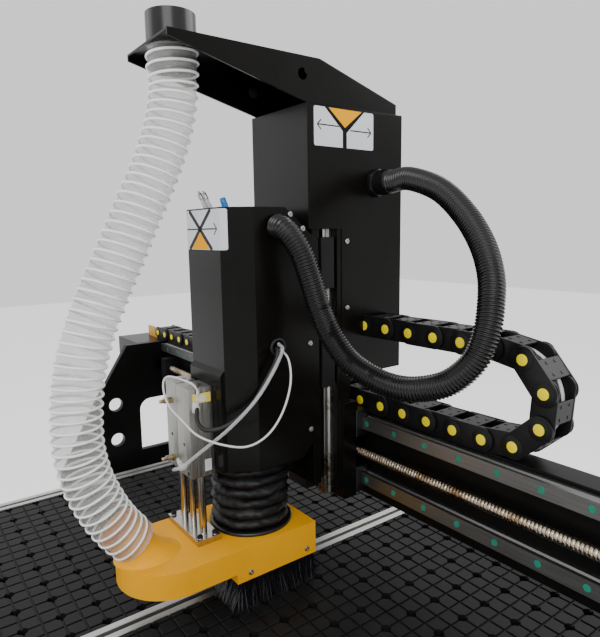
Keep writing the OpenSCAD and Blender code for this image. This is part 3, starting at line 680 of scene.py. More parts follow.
# %% Dust hose and its helix
hose_line, hose_length = flowing(
    [
        (0, -100, 1650), (0, -100, 1636), (0, -100, 1622), (0, -101, 1591), (0, -111, 1545), (0, -132, 1491),
        (0, -158, 1439), (0, -183, 1387), (0, -208, 1337), (0, -231, 1287), (0, -247, 1237), (0, -255, 1185),
        (0, -256, 1131), (0, -248, 1088), (0, -236, 1055), (0, -222, 1026), (0, -206, 1001), (0, -190, 981),
    ],
    2.0,
)
HELIX_PITCH = 13.4
HELIX_WIRE = 1.75
HELIX_SEAT = 0.9
HOSE_RADIUS = 31.0
SWELL = 1.2
CUFF = 28.0
CUFF_STRETCH = 1.7
CUFF_END = 12.0


def hose_radius(run):
    """The hose is stretched a little where it is pushed over the collar."""
    return HOSE_RADIUS + CUFF_STRETCH * max(0.0, min(1.0, (CUFF + CUFF_END - run) / CUFF_END))


def film(run, angle):
    return hose_radius(run) + SWELL * math.cos(math.tau * run / HELIX_PITCH - angle)


dust_hose = tube("dust_hose_film", hose_line, film, 40)
rest(dust_hose, "dust_hose_film", "carriage", hose_clear, ("dust_hose",), 60)
print("hose", round(hose_length, 3), "m")

# %% [markdown]
# The helix starts a third of a turn down the hose and stops before its end. Its centre lies just outside the
# film's middle radius, so the wire shows as a bead on the wall.

# %% Helix
STEPS_A_TURN = 28
FIRST_TURN = 0.3
wound = []
hose_frames = uprights(hose_line)
turns = hose_length / MM / HELIX_PITCH
for i in range(int((turns - 2 * FIRST_TURN) * STEPS_A_TURN)):
    turned = i / STEPS_A_TURN + FIRST_TURN
    share = turned / turns * (len(hose_frames) - 1)
    here, side, up = hose_frames[int(share)]
    after = hose_frames[min(int(share) + 1, len(hose_frames) - 1)]
    centre = here.lerp(after[0], share % 1)
    angle = math.tau * turned
    reach = hose_radius(share / (len(hose_frames) - 1) * hose_length / MM) + HELIX_SEAT
    wound.append(centre + (side * math.cos(angle) + up * math.sin(angle)) * reach * MM)
hose_helix = tube("dust_hose_helix", wound, lambda run, angle: HELIX_WIRE, 8)
rest(hose_helix, "dust_hose_helix", "carriage", helix_white, (), 60)
print("helix of", round(turns), "turns")

# %% [markdown]
# ## The corrugated conduit
# The conduit's wall is the same loft with a ripple along its run. It leaves the hood and enters the spindle
# cover, which moves up and down; here it is tied to neither body.

# %% Wire conduit
RIB_PITCH = 4.4
conduit_line, conduit_length = flowing(
    [
        (110, 200, 1481), (147, 200, 1482), (206, 197, 1462), (255, 190, 1426), (291, 180, 1387),
        (313, 168, 1351), (324, 155, 1321), (329, 142, 1287), (322, 130, 1250), (297, 115, 1220),
        (262, 100, 1206), (229, 88, 1204), (196, 76, 1213), (166, 63, 1232), (144, 52, 1263),
        (131, 42, 1300), (123, 32, 1342), (115, 24, 1376), (105, 16, 1398), (92, 11, 1411), (74.5, 10, 1416),
    ],
    RIB_PITCH / 6,
)


def ripple(run, angle):
    return 15.9 + 1.15 * math.cos(math.tau * run / RIB_PITCH)


wire_conduit = tube("wire_conduit_wall", conduit_line, ripple, 28)
rest(wire_conduit, "wire_conduit_wall", None, conduit_black, ("wire_conduit",), 80)
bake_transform(wire_conduit)
print("conduit", round(conduit_length, 3), "m")

# %% [markdown]
# The gland that holds the conduit is a ribbed nut on a hexagon. Its ribs are made by an inset on every
# other side face of a turned bar, and its hexagon is a six-sided bar with broken edges.


# %% Conduit gland
def ribbed(start, end, radius, sides, depth):
    """A knurled ring: every other side face of a turned bar is pushed in."""
    ring = rod(start, end, radius, sides)
    pick(ring)
    bpy.ops.object.mode_set(mode="EDIT")
    bpy.ops.mesh.select_all(action="DESELECT")
    bpy.ops.object.mode_set(mode="OBJECT")
    axis = (Vector(end) - Vector(start)).normalized()
    walls = [face for face in ring.data.polygons if abs(face.normal.dot(axis)) < 0.5]
    for face in walls[::2]:
        face.select = True
    bpy.ops.object.mode_set(mode="EDIT")
    bpy.ops.mesh.inset(thickness=0.25 * MM, depth=-depth * MM, use_individual=True)
    bpy.ops.object.mode_set(mode="OBJECT")
    return ring


gland = join(
    [
        rod((74, 200, 1481), (84, 200, 1481), 22, 6, 0.8),
        ribbed((84, 200, 1481), (103, 200, 1481), 19, 36, 0.7),
        rod((103, 200, 1481), (110, 200, 1481), 19, 36, 1.2, radius_end=17.8),
    ],
    "conduit_gland_nut",
)
rest(gland, "conduit_gland_nut", home("conduit_gland"), gland_black, ("conduit_gland",))

# %% [markdown]
# ## Three thin lines on the spindle
# The air tube is a clear, springy tube from the cylinder's lower fitting. The sensor lead is a thin white
# cable and the valve lead a thicker black one. All three go back through one grommet in the cover's side.


# %% Air tube, sensor lead and valve lead
def lead(name, node, points, radius, finish, step=2.0, sides=14):
    line, length = flowing(points, step)
    cable = tube(name, line, lambda run, angle: radius, sides)
    rest(cable, name, home(node), finish, (node,), 60)
    print(name, round(length, 3), "m")


lead(
    "air_tube_wall",
    "air_tubes",
    [
        (77.2, 8.5, 1249), (94, 3, 1243), (106, -22, 1217), (104, -50, 1182), (88, -82, 1146),
        (58, -112, 1110), (30, -127, 1084), (10, -131, 1074), (2, -125, 1071), (2, -117.7, 1070.6),
    ],
    2.5,
    tube_clear,
)
lead(
    "sensor_lead",
    "sensor_cable",
    [
        (24.5, -96, 1187.2), (20, -103, 1198), (-4, -121, 1206), (-18, -127, 1200), (-12, -131, 1184),
        (6, -131, 1166), (34, -124, 1150), (62, -116, 1136), (88, -94, 1126), (106, -66, 1122),
        (118, -40, 1136), (120, -16, 1164), (114, 2, 1200), (99, 10, 1229), (77.2, 11.5, 1241),
    ],
    1.5,
    cable_white,
    1.5,
    10,
)
lead(
    "valve_lead",
    "valve_cable",
    [
        (29.3, -100.5, 1163), (42, -107, 1150), (58, -104, 1141), (72, -86, 1143), (80, -64, 1154),
        (84, -42, 1172), (87, -20, 1203), (87, -4, 1227), (83, 2.5, 1240), (77.2, 4.5, 1243.5),
    ],
    3.0,
    cable_black,
)

# %% [markdown]
# ## The gridded table
# The table is a phenolic board cut into squares, with a hole at every second corner of the grid. Four
# squares round one hole make a cell, and the cell is all that has to be modelled: one square is inset and
# raised, and mirrored both ways.


# %% One square, mirrored to a cell
GRID = 25.4
GROOVE = 3.4
GROOVE_DEPTH = 2.4
CHAMFER = 0.5
TOP_SHARE = 0.955
BORE = 7.4
board_low, board_high = low("bed_boards"), high("bed_boards")


def mirrored(piece, axis, name):
    """A piece joined with its mirror copy across the origin, with the copy's faces turned outward again."""
    twin = twin_of(piece)
    twin.scale[axis] = -1
    settle(twin)
    bpy.ops.object.mode_set(mode="EDIT")
    bpy.ops.mesh.select_all(action="SELECT")
    bpy.ops.mesh.flip_normals()
    bpy.ops.object.mode_set(mode="OBJECT")
    return join([piece, twin], name)


square = block((0, 0, -20), (GRID, GRID, -GROOVE_DEPTH), edge=0)
bpy.ops.object.mode_set(mode="EDIT")
bpy.ops.mesh.select_mode(type="FACE")
bpy.ops.mesh.select_all(action="DESELECT")
bpy.ops.object.mode_set(mode="OBJECT")
for face in square.data.polygons:
    face.select = face.normal.z > 0.9
bpy.ops.object.mode_set(mode="EDIT")
bpy.ops.mesh.inset(thickness=GROOVE / 2 * MM)
for rise in (GROOVE_DEPTH - CHAMFER, CHAMFER):
    bpy.ops.mesh.extrude_region_move(TRANSFORM_OT_translate={"value": (0, 0, rise * MM)})
bpy.ops.transform.resize(
    value=(TOP_SHARE, TOP_SHARE, 1), center_override=(GRID / 2 * MM, GRID / 2 * MM, 0)
)
bpy.ops.object.mode_set(mode="OBJECT")
cell = square
for axis in range(2):
    cell = mirrored(cell, axis, "table_cell")
    pick(cell)
    bpy.ops.object.mode_set(mode="EDIT")
    bpy.ops.mesh.select_all(action="SELECT")
    bpy.ops.mesh.remove_doubles(threshold=0.00001)
    bpy.ops.mesh.select_all(action="DESELECT")
    bpy.ops.mesh.select_interior_faces()
    bpy.ops.mesh.delete(type="FACE")
    bpy.ops.object.mode_set(mode="OBJECT")
print("one cell has", len(cell.data.polygons), "faces before the bore")

# %% [markdown]
# The hole is bored through the middle of the cell. Then the cell's outer sides and its underside are taken
# away, because they would become walls inside the board once the cells stand side by side.


# %% The hole and the open sides
def carve(piece, cutters):
    """Take the cutters out of a piece, one after another."""
    for cutter in cutters:
        cut = piece.modifiers.new("cut", "BOOLEAN")
        cut.operation = "DIFFERENCE"
        cut.object = cutter
        cut.solver = "EXACT"
        apply_all(piece)
        bpy.data.objects.remove(cutter)
    return piece


def on_side(face):
    """Whether a face is one of the cell's four upright outer sides."""
    outside = all(max(abs(vert.co.x), abs(vert.co.y)) > (GRID - 0.01) * MM for vert in face.verts)
    return outside and abs(face.normal.z) < 0.1


carve(cell, [rod((0, 0, -14), (0, 0, 6), BORE, 18)])
rim = bmesh.new()
rim.from_mesh(cell.data)
doomed = [face for face in rim.faces if face.normal.z < -0.9 or on_side(face)]
bmesh.ops.delete(rim, geom=doomed, context="FACES")
rim.to_mesh(cell.data)
rim.free()

# %% [markdown]
# Two arrays lay the cells over the board, and four cuts trim the sheet to the board's edges, through
# whatever squares lie there, as a saw would.

# %% Cells over the board
inner, outer = 16, 492
half_length = board_high.y / MM
cell.location = spot(GRID, -25 * GRID, board_high.z / MM)
for axis, count in ((0, 10), (1, 26)):
    copies = cell.modifiers.new("repeat", "ARRAY")
    copies.count = count
    copies.use_relative_offset = False
    copies.use_constant_offset = True
    copies.constant_offset_displace = [2 * GRID * MM if k == axis else 0 for k in range(3)]
    copies.use_merge_vertices = True
    copies.merge_threshold = 0.00002
apply_all(cell)
bpy.ops.object.transform_apply(location=True, rotation=True, scale=True)
bpy.ops.object.mode_set(mode="EDIT")
for place, normal in (
    ((inner, 0, 0), (-1, 0, 0)),
    ((outer, 0, 0), (1, 0, 0)),
    ((0, half_length, 0), (0, 1, 0)),
    ((0, -half_length, 0), (0, -1, 0)),
):
    bpy.ops.mesh.select_all(action="SELECT")
    bpy.ops.mesh.bisect(plane_co=spot(*place), plane_no=normal, clear_outer=True, threshold=1e-7)
bpy.ops.object.mode_set(mode="OBJECT")

# %% [markdown]
# The sheet is still open below. Its border is pulled down to the underside and closed there, and the
# finished board is mirrored across the middle T-slot strip.

# %% Board thickness and its twin
board = bmesh.new()
board.from_mesh(cell.data)
border = [edge for edge in board.edges if edge.is_boundary]
pulled = bmesh.ops.extrude_edge_only(board, edges=border)["geom"]
for vert in {v for v in pulled if isinstance(v, bmesh.types.BMVert)}:
    vert.co.z = board_low.z
bmesh.ops.holes_fill(board, edges=[edge for edge in board.edges if edge.is_boundary], sides=0)
bmesh.ops.recalc_face_normals(board, faces=board.faces)
board.to_mesh(cell.data)
board.free()
print("one board has", len(cell.data.polygons), "faces")
rest(mirrored(cell, 0, "table_boards"), "table_boards", "base", board_black, ("bed_boards",), 30)

# %% [markdown]
# ## Cable chain
# A cable chain is one link repeated. A link is two side plates with round ends, joined by bars above and
# below, and every other link has its plates inside its neighbours'. Yellow caps close the pivots. Both kinds
# of link are modelled once at the origin, and each copy is set on the chain's track by its two pivots.


# %% Chain track
LINK = 47.0
track_low, track_high, track_turn, track_start = 1132.0, 1257.0, 325.0, -780.0
bend = (track_high - track_low) / 2
straight = track_turn - track_start
chain_front, chain_rear = low("x_cable_chain").y / MM, high("x_cable_chain").y / MM
chain_middle = (chain_front + chain_rear) / 2
half_width = (chain_rear - chain_front) / 2


def track(run):
    """The place on the chain's track at a run in millimetres from its fixed end."""
    if run < straight:
        return spot(track_start + run, chain_middle, track_low)
    turned = (run - straight) / bend
    if turned < math.pi:
        x, z = track_turn + bend * math.sin(turned), track_low + bend - bend * math.cos(turned)
        return spot(x, chain_middle, z)
    return spot(track_turn - (run - straight - math.pi * bend), chain_middle, track_high)


# %% [markdown]
# A side plate is a turned disc that is pulled apart into a slot shape, with its edges broken. The bars have
# small snap feet at their ends, where a screwdriver opens them. The outer links carry the pivot discs.


# %% Chain links
PLATE_WALL = 3.6


def link_plate(y_start, y_end):
    plate = rod((0, y_start, 0), (0, y_end, 0), 17, 24)
    for vert in plate.data.vertices:
        vert.co.x += math.copysign(LINK / 2, vert.co.x) * MM
    return soften(plate, 0.9, 2, 50)


def chain_link(inset):
    outer = half_width - inset
    parts = [link_plate(-outer, -outer + PLATE_WALL), link_plate(outer - PLATE_WALL, outer)]
    for z in (-16.2, 12.8):
        parts.append(block((-14, -outer + 2, z), (14, outer - 2, z + 3.4), 0.8, 1))
        for x in (-8, 8):
            for y in (-9, 9):
                parts.append(block((x - 2, y - 2, z - 0.7), (x + 2, y + 2, z + 4.1), 0.4, 1))
    pivots = () if inset else (-LINK / 2, LINK / 2)
    for x in pivots:
        parts.append(rod((x, -outer - 0.6, 0), (x, -outer + 1, 0), 14.2, 28, 0.4))
    made = join([tint(part, chain_black) for part in parts], "chain_link")
    caps = []
    for x in pivots:
        caps.append(tint(rod((x, -outer - 1.2, 0), (x, -outer + 1, 0), 7.4, 20, 0.6), cap_yellow))
    return join([made, *caps], "chain_link")


def set_copy(master, matrix):
    twin = twin_of(master)
    twin.matrix_world = matrix
    return settle(twin)


# %% [markdown]
# When the carriage moves, the bend of a real chain rolls along at half its speed. So the chain is three
# pieces: the lower run, the bend and the upper run. None of them is tied to a body here.

# %% Three stretches of chain
masters = [chain_link(0), chain_link(4)]
hood_end = high("hood_sides").x / MM
link_count = int((straight + math.pi * bend + track_turn - hood_end) / LINK)
bend_first = int(straight / LINK)
bend_last = math.ceil((straight + math.pi * bend) / LINK)


def stretch_of_chain(name, first, last, stands_for=()):
    """The links from first up to last with the wires inside them."""
    links = []
    for i in range(first, last):
        a, b = track(i * LINK), track((i + 1) * LINK)
        ahead = (b - a).normalized()
        across = Vector((0, 1, 0))
        turn = Matrix((ahead, across, ahead.cross(across))).transposed().to_4x4()
        links.append(set_copy(masters[i % 2], Matrix.Translation((a + b) / 2) @ turn))
    runs = [first * LINK + (last - first) * LINK * k / 60 for k in range(61)]
    for y, radius, finish in ((-11, 5, blue_plastic), (1, 5.5, cable_black), (12, 4, cable_white)):
        line = [track(run) + spot(0, y, 0) for run in runs]
        links.append(tint(tube("chain_wire", line, lambda run, angle: radius, 10), finish))
    piece = rest(join(links, name), name, None, None, stands_for)
    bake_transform(piece)


low_joint, high_joint = track(bend_first * LINK).x, track(bend_last * LINK).x
stretch_of_chain(
    "chain_lower_run", 0, bend_first, ("x_cable_chain",)
)
stretch_of_chain("chain_bend", bend_first, bend_last)
stretch_of_chain("chain_upper_run", bend_last, link_count)
for master in masters:
    bpy.data.objects.remove(master)
print(link_count, "links, of which the bend has", bend_last - bend_first)

# %% [markdown]
# ## Ball screws
# A ball screw's thread is a shallow round groove. Its skin is a loft whose radius dips once in each lead.
# Each shaft has plain journals at its ends, and a coupler in two halves with a narrow spider between them.


# %% Threaded shafts
SCREW_RADIUS = 8.0
SCREW_LEAD = 5.0
THREAD_DEPTH = 1.1


def thread(run, angle):
    phase = math.cos(math.tau * run / SCREW_LEAD - angle)
    return SCREW_RADIUS - THREAD_DEPTH * max(0.0, phase) ** 2


def screw_shaft(name, node, axis, start, end, centre, extras):
    """A threaded length between two places on an axis, with plain turned lengths added."""

    def at(run):
        place = list(centre)
        place[axis] = run
        return spot(*place)

    steps = int(abs(end - start) / 0.9)
    line = [at(start + (end - start) * i / steps) for i in range(steps + 1)]
    parts = [tube(name, line, thread, 14)]
    for low_end, high_end, radius, edge in extras:
        parts.append(rod(at(low_end) / MM, at(high_end) / MM, radius, 32, edge))
    return rest(join(parts, name), name, home(node), screw_metal, (node,), 50)


def journals_and_coupler(start, thread_start, thread_end, end, coupler, half, radius, spider):
    """The plain ends of a shaft, then its coupler: two halves with a narrower spider between them."""
    far_half = coupler + half + 2
    return [
        (start, thread_start + 1, 6, 0.5),
        (thread_end - 1, end, 6, 0.5),
        (coupler, coupler + half, radius, 1.2),
        (far_half, far_half + half, radius, 1.2),
        (coupler + half, far_half, spider, 0),
    ]


x_low, x_high = low("x_screw").x / MM, high("x_screw").x / MM
screw_shaft(
    "x_screw_thread", "x_screw", 0, -653, 653, (0, 160, 1053.6),
    journals_and_coupler(x_low, -653, 653, x_high, 685, 17, 13, 11),
)
Y_SCREW_X = 650
y_low, y_high = low("y_screw_left").y / MM, high("y_screw_left").y / MM
for side, name in ((-1, "y_screw_left"), (1, "y_screw_right")):
    screw_shaft(
        name + "_thread", name, 1, -673, 588, (side * Y_SCREW_X, 0, 585),
        journals_and_coupler(y_low, -673, 588, y_high, 621, 17, 15, 12),
    )
z_low, z_high = low("z_screw").z / MM, high("z_screw").z / MM
screw_shaft(
    "z_screw_thread", "z_screw", 2, 1006, 1419, (0, 106, 0),
    journals_and_coupler(z_low, 1006, 1419, z_high, 1443, 16, 12, 9),
)

# %% [markdown]
# ## Bearing blocks and motors
# A rail block is a ground steel body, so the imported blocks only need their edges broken. A stepper motor is
# a stack: a milled flange, laminated iron with cut corners, and a rear cap held by four long bolts.

# %% Blocks
rounded("x_bearing_blocks", 1.2, block_metal)
rounded("y_bearing_blocks", 1.2, block_metal)
rounded("z_bearing_blocks", 1.2, oxide_and_shade_black)


# %% Motors
MOTOR_WIDTH = 60
FLANGE = 9
REAR_CAP = 16


def motor(node, axis, length, start):
    """A stepper from its flange at start along an axis, in millimetres."""
    centre = middle(node) / MM
    others = [k for k in range(3) if k != axis]

    def place(run, u, v, shrink):
        found = list(centre)
        found[axis] = start + run
        found[others[0]] += u * (MOTOR_WIDTH / 2 - shrink)
        found[others[1]] += v * (MOTOR_WIDTH / 2 - shrink)
        return found

    def layer(run, run_end, shrink, edge, segments, finish):
        return tint(block(place(run, -1, -1, shrink), place(run_end, 1, 1, shrink), edge, segments), finish)

    parts = [
        layer(0, FLANGE, 0, 2.5, 3, milled_metal),
        layer(FLANGE, length - REAR_CAP, 1.5, 5, 1, motor_black),
        layer(length - REAR_CAP, length, 0.6, 2.5, 3, motor_black),
    ]
    for u in (-1, 1):
        for v in (-1, 1):
            bolt = rod(place(length - 1, u, v, 6), place(length + 0.6, u, v, 6), 2.6, 12, 0.3)
            parts.append(tint(bolt, zinc))
    return parts


def dress_motor(node, groups):
    pieces = [part for group in groups for part in group]
    name = node + "_cases"
    return rest(join(pieces, name), name, home(node), None, (node,), 35)


dress_motor("x_motor", [motor("x_motor", 0, 84, low("x_motor").x / MM)])
dress_motor("z_motor", [motor("z_motor", 2, 76, low("z_motor").z / MM)])
y_motor_start = low("y_motors").y / MM
left = motor("y_motors", 1, high("y_motors").y / MM - y_motor_start, y_motor_start)
for part in left:
    part.location.x = -Y_SCREW_X * MM
    settle(part)
right = [set_copy(part, Matrix.Translation((2 * Y_SCREW_X * MM, 0, 0))) for part in left]
dress_motor("y_motors", [left, right])
print("screws, blocks and motors made")

# %% [markdown]
# ## Screw heads
# A button head is a low dome with a hexagon socket. One head is turned, rounded and bored, and a copy is
# set on each place.


# %% Button heads
def button_head(radius, height):
    head = rod((0, 0, -0.4), (0, 0, height), radius, 20)
    soften(head, height * 0.45, 3, 60)
    return carve(head, [rod((0, 0, height * 0.4), (0, 0, height + 2), radius * 0.48, 6)])


def set_heads(name, body, places, radius, height, finish, stands_for=()):
    master = button_head(radius, height)
    heads = []
    for place, outward in places:
        turn = Vector(outward).to_track_quat("Z", "Y").to_matrix().to_4x4()
        heads.append(set_copy(master, Matrix.Translation(spot(*place)) @ turn))
    bpy.data.objects.remove(master)
    return rest(join(heads, name), name, body, finish, stands_for, 40)


both = ((1, 0, 0), (-1, 0, 0))
hood_half = high("hood_sides").x / MM
shoe_half = high("shoe_shell").x / MM
cover_yz = ((34, 1432), (56, 1412), (67, 1242), (67, 1108))
hood_places = [((hood_half * way[0], 140.5, z), way) for way in both for z in (1392, 1289, 1184)]
cover_places = [((hood_half * way[0], y, z), way) for way in both for y, z in cover_yz]
shoe_places = [((shoe_half * way[0], y, 917), way) for way in both for y in (-48, 54)]
set_heads("hood_screw_heads", home("hood_screws"), hood_places, 4, 2.2, zinc, ("hood_screws",))
set_heads("cover_screw_heads", home("cover_screws"), cover_places, 4, 2.2, zinc, ("cover_screws",))
set_heads("shoe_screw_heads", home("shoe_screws"), shoe_places, 4, 2.2, zinc, ("shoe_screws",))

# %% [markdown]
# ## Suction shoe
# The shoe is a bent tub with a round nose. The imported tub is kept, and its straight spigot is cut away at
# the lid, because the real one is flared and is made next.

# %% Shoe tub
lid = low("bellows").z
shoe = copy_of("shoe_shell", "shoe_tub")
tub = bmesh.new()
tub.from_mesh(shoe.data)
bmesh.ops.remove_doubles(tub, verts=tub.verts, dist=0.00002)
bmesh.ops.delete(tub, geom=[v for v in tub.verts if v.co.z > lid + 0.0003], context="VERTS")
bmesh.ops.holes_fill(tub, edges=[edge for edge in tub.edges if edge.is_boundary], sides=0)
bmesh.ops.dissolve_limit(tub, angle_limit=math.radians(0.6), verts=tub.verts, edges=tub.edges)
tub.to_mesh(shoe.data)
tub.free()
soften(shoe, 1.6, 3, 45)
print("shoe tub has", len(shoe.data.polygons), "faces")

# %% [markdown]
# The horn is a loft from an oval on the lid to a round neck square to the hose. Each ring comes in faster
# than it rises, which gives the flare, and the last rings are the spigot inside the clear hose and its bore.

# %% Flared horn
RIGHT, REAR, UP = Vector((1, 0, 0)), Vector((0, 1, 0)), Vector((0, 0, 1))
LEAN = math.radians(38)
FLARE = 2.2
SIDES = 48
port = spot(0, -190, 981)
outward = Vector((0, -math.sin(LEAN), math.cos(LEAN)))
across = Vector((0, outward.z, -outward.y))
foot = Vector((0, port.y + 0.0185, lid - 0.001))
oval = circle(foot, RIGHT * 40.5, REAR * 49, MM, SIDES)
neck = circle(port, RIGHT, across, 29.5 * MM, SIDES)
rings = []
for k in range(10):
    share = k / 9
    ring = []
    for base, end in zip(oval, neck):
        point = base.lerp(end, 1 - (1 - share) ** FLARE)
        point.z = base.z + (end.z - base.z) * share
        ring.append(point)
    rings.append(ring)
for rise, radius in ((20, 29.2), (36, 29), (36, 27.2), (0, 27.2)):
    rings.append(circle(port + outward * rise * MM, RIGHT, across, radius * MM, SIDES))
shoe = join([shoe, loft("shoe_horn", rings)], "shoe_tub")
rest(shoe, "shoe_tub", home("shoe_shell"), shoe_yellow, ("shoe_shell",), 40, flat=True)

# %% [markdown]
# The brush is a strip of black nylon round the shoe's mouth. Each bristle is a three-sided splinter with a
# bend, set at random over the strip's width, and leaning outwards at its tip as worn bristles do.

# %% Bristles
BRISTLES_A_MM = 5.5
brush_low, brush_high = low("brush_skirt"), high("brush_skirt")
mouth = brush_high.z - 0.016
skirt = bmesh.new()
corners = [
    Vector((brush_low.x, brush_low.y, 0)), Vector((brush_high.x, brush_low.y, 0)),
    Vector((brush_high.x, brush_high.y, 0)), Vector((brush_low.x, brush_high.y, 0)),
]
for i in range(4):
    a, b = corners[i], corners[(i + 1) % 4]
    along = (b - a).normalized()
    out = Vector((along.y, -along.x, 0))
    for n in range(int((b - a).length / MM * BRISTLES_A_MM)):
        root = a.lerp(b, chance.random()) - out * chance.uniform(0.5, 8.5) * MM
        clump = math.sin(root.x * 210) * math.sin(root.y * 190)
        spread = chance.uniform(1, 11) + 7 * max(0.0, clump) * chance.random() + 12 * chance.random() ** 6
        lean = out * spread * MM + along * chance.gauss(0, 4.5) * MM
        tip_z = brush_low.z + (chance.uniform(0.2, 4) + 9 * chance.random() ** 5) * MM
        stations = (
            (brush_high.z - 0.003, 0.0, 0.42), (mouth, 0.03, 0.4), ((2 * mouth + tip_z) / 3, 0.25, 0.36),
            ((mouth + 2 * tip_z) / 3, 0.6, 0.3), (tip_z, 1.0, 0.14),
        )
        rings = []
        for z, share, radius in stations:
            centre = Vector((root.x, root.y, z)) + lean * share
            rings.append([skirt.verts.new(point) for point in circle(centre, RIGHT, -REAR, radius * MM, 3)])
        for upper, lower in zip(rings, rings[1:]):
            for k in range(3):
                skirt.faces.new((upper[k], upper[(k + 1) % 3], lower[(k + 1) % 3], lower[k]))
bristles = piece_from(skirt, "brush_bristles")
print("brush has", len(bristles.data.polygons), "faces")

# %% [markdown]
# The bristles are held in four bars inside the mouth of the shoe, one along each side.

# %% Brush bars
BAR_OUT, BAR_IN = 2.5, 4.5
strip = []
for i in range(4):
    a, b = corners[i] / MM, corners[(i + 1) % 4] / MM
    lo = [
        min(a.x, b.x) + (-BAR_IN if i == 1 else BAR_OUT),
        min(a.y, b.y) + (-BAR_IN if i == 2 else BAR_OUT),
        871,
    ]
    hi = [
        max(a.x, b.x) - (-BAR_IN if i == 3 else BAR_OUT),
        max(a.y, b.y) - (-BAR_IN if i == 0 else BAR_OUT),
        918,
    ]
    near = [min(pair) for pair in zip(lo, hi)]
    far = [max(pair) for pair in zip(lo, hi)]
    strip.append(block(near, far, 0.5, 1))
brush = join([bristles, *strip], "brush_bristles")
rest(brush, "brush_bristles", home("brush_skirt"), bristle_black, ("brush_skirt",), 50)

# %% [markdown]
# The bellows is a sewn sleeve of coated cloth. Its pleats bulge and its creases are tight, and none is quite
# round, so each pleat's radius and height wander with the angle. It is one skin, given thickness.

# %% Bellows sleeve
bellows_low, bellows_high = low("bellows").z / MM, high("bellows").z / MM
PLEATS = 6
rings = []
for step in range(PLEATS * 9 + 1):
    share = step / (PLEATS * 9)
    ring = []
    for n in range(96):
        angle = math.tau * n / 96
        pleat = int(min(share * PLEATS, PLEATS - 0.001))
        swell = abs(math.sin(math.pi * share * PLEATS)) ** 0.62
        wander = 1.3 * math.sin(5 * angle + pleat * 2.3) + 0.9 * math.sin(11 * angle - pleat * 1.7)
        dent = 0.8 * math.sin(23 * angle + share * 31 + pleat)
        radius = 52.2 + swell * (8.3 + wander + dent) + 0.5 * math.sin(3 * angle + share * 9)
        fade = math.sin(math.pi * share)
        z = 5 + share * (bellows_high - bellows_low - 5) + fade * 1.5 * math.sin(4 * angle + pleat * 1.9)
        ring.append(spot(radius * math.cos(angle), radius * math.sin(angle), bellows_low + z))
    rings.append(ring)
sleeve = loft("bellows_sleeve", rings, ends=False)
wall = sleeve.modifiers.new("cloth", "SOLIDIFY")
wall.thickness = 1.2 * MM
wall.offset = -1
apply_all(sleeve)
print("sleeve has", len(sleeve.data.polygons), "faces")

# %% [markdown]
# A ring of black plastic clamps the sleeve to the lid. Its section goes once round, and the place where its
# end meets its start is merged.

# %% Bellows clamp
clamp_profile = [(65, 0), (65.6, 1.5), (65, 4), (63.5, 5.2), (55, 5.6), (53, 4), (53, 0), (65, 0)]
rings = [circle(spot(0, 0, bellows_low + z), RIGHT, REAR, r * MM, 72) for r, z in clamp_profile]
clamp = loft("bellows_clamp", rings, ends=False)
pick(clamp)
bpy.ops.object.mode_set(mode="EDIT")
bpy.ops.mesh.select_all(action="SELECT")
bpy.ops.mesh.remove_doubles(threshold=0.00001)
bpy.ops.object.mode_set(mode="OBJECT")
tint(sleeve, bellows_cloth)
tint(clamp, conduit_black)
bellows = join([sleeve, clamp], "bellows_sleeve")
rest(bellows, "bellows_sleeve", home("bellows"), None, ("bellows",), 70)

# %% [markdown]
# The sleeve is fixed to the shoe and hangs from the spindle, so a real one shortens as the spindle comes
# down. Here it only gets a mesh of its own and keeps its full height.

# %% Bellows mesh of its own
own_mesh(bellows)
print("shoe, brush and bellows made")

# %% [markdown]
# ## Guided air cylinder
# The cylinder is a length of aluminium extrusion: a narrow guide body and a wider main body with a dark
# slot between them. Grooves for sensors run down its side, and tapped holes are bored in its face.

# %% Cylinder body
body_low, body_high = low("air_cylinder") / MM, high("air_cylinder") / MM
guide_high = (body_low.x + 36, body_high.y - 2, body_high.z)
guide = block((body_low.x, body_low.y + 2, body_low.z), guide_high, 1.4, 2)
main = block((body_low.x + 41, body_low.y, body_low.z), (body_high.x, body_high.y, body_high.z), 1.0, 2)
web_low = (body_low.x + 34, body_low.y + 9, body_low.z + 1)
web = block(web_low, (body_low.x + 43, body_high.y - 6, body_high.z - 1), 0)
left, right, front, under, over = body_low.x, body_high.x, body_low.y, body_low.z, body_high.z
cuts = [rod((left + 17, front - 2, z), (left + 17, front + 12, z), 2.7, 20) for z in (under + 9, under + 51)]
cuts.append(rod((left + 10, front + 19, over - 6), (left + 10, front + 19, over + 2), 3.6, 20))
carve(guide, cuts)
cuts = [block((right - 2.4, y, under - 2), (right + 2, y + 3.4, over + 2), 0) for y in (-99, -91, -81)]
cuts.append(rod((1, front - 2, 1104), (1, front + 12, 1104), 2.7, 20))
cuts.append(rod((12, front - 2, under + 6), (12, front + 9, under + 6), 3.4, 20))
cuts.append(rod((12, -91, over - 5), (12, -91, over + 2), 3.6, 20))
carve(main, cuts)
print("guide and main body carved")
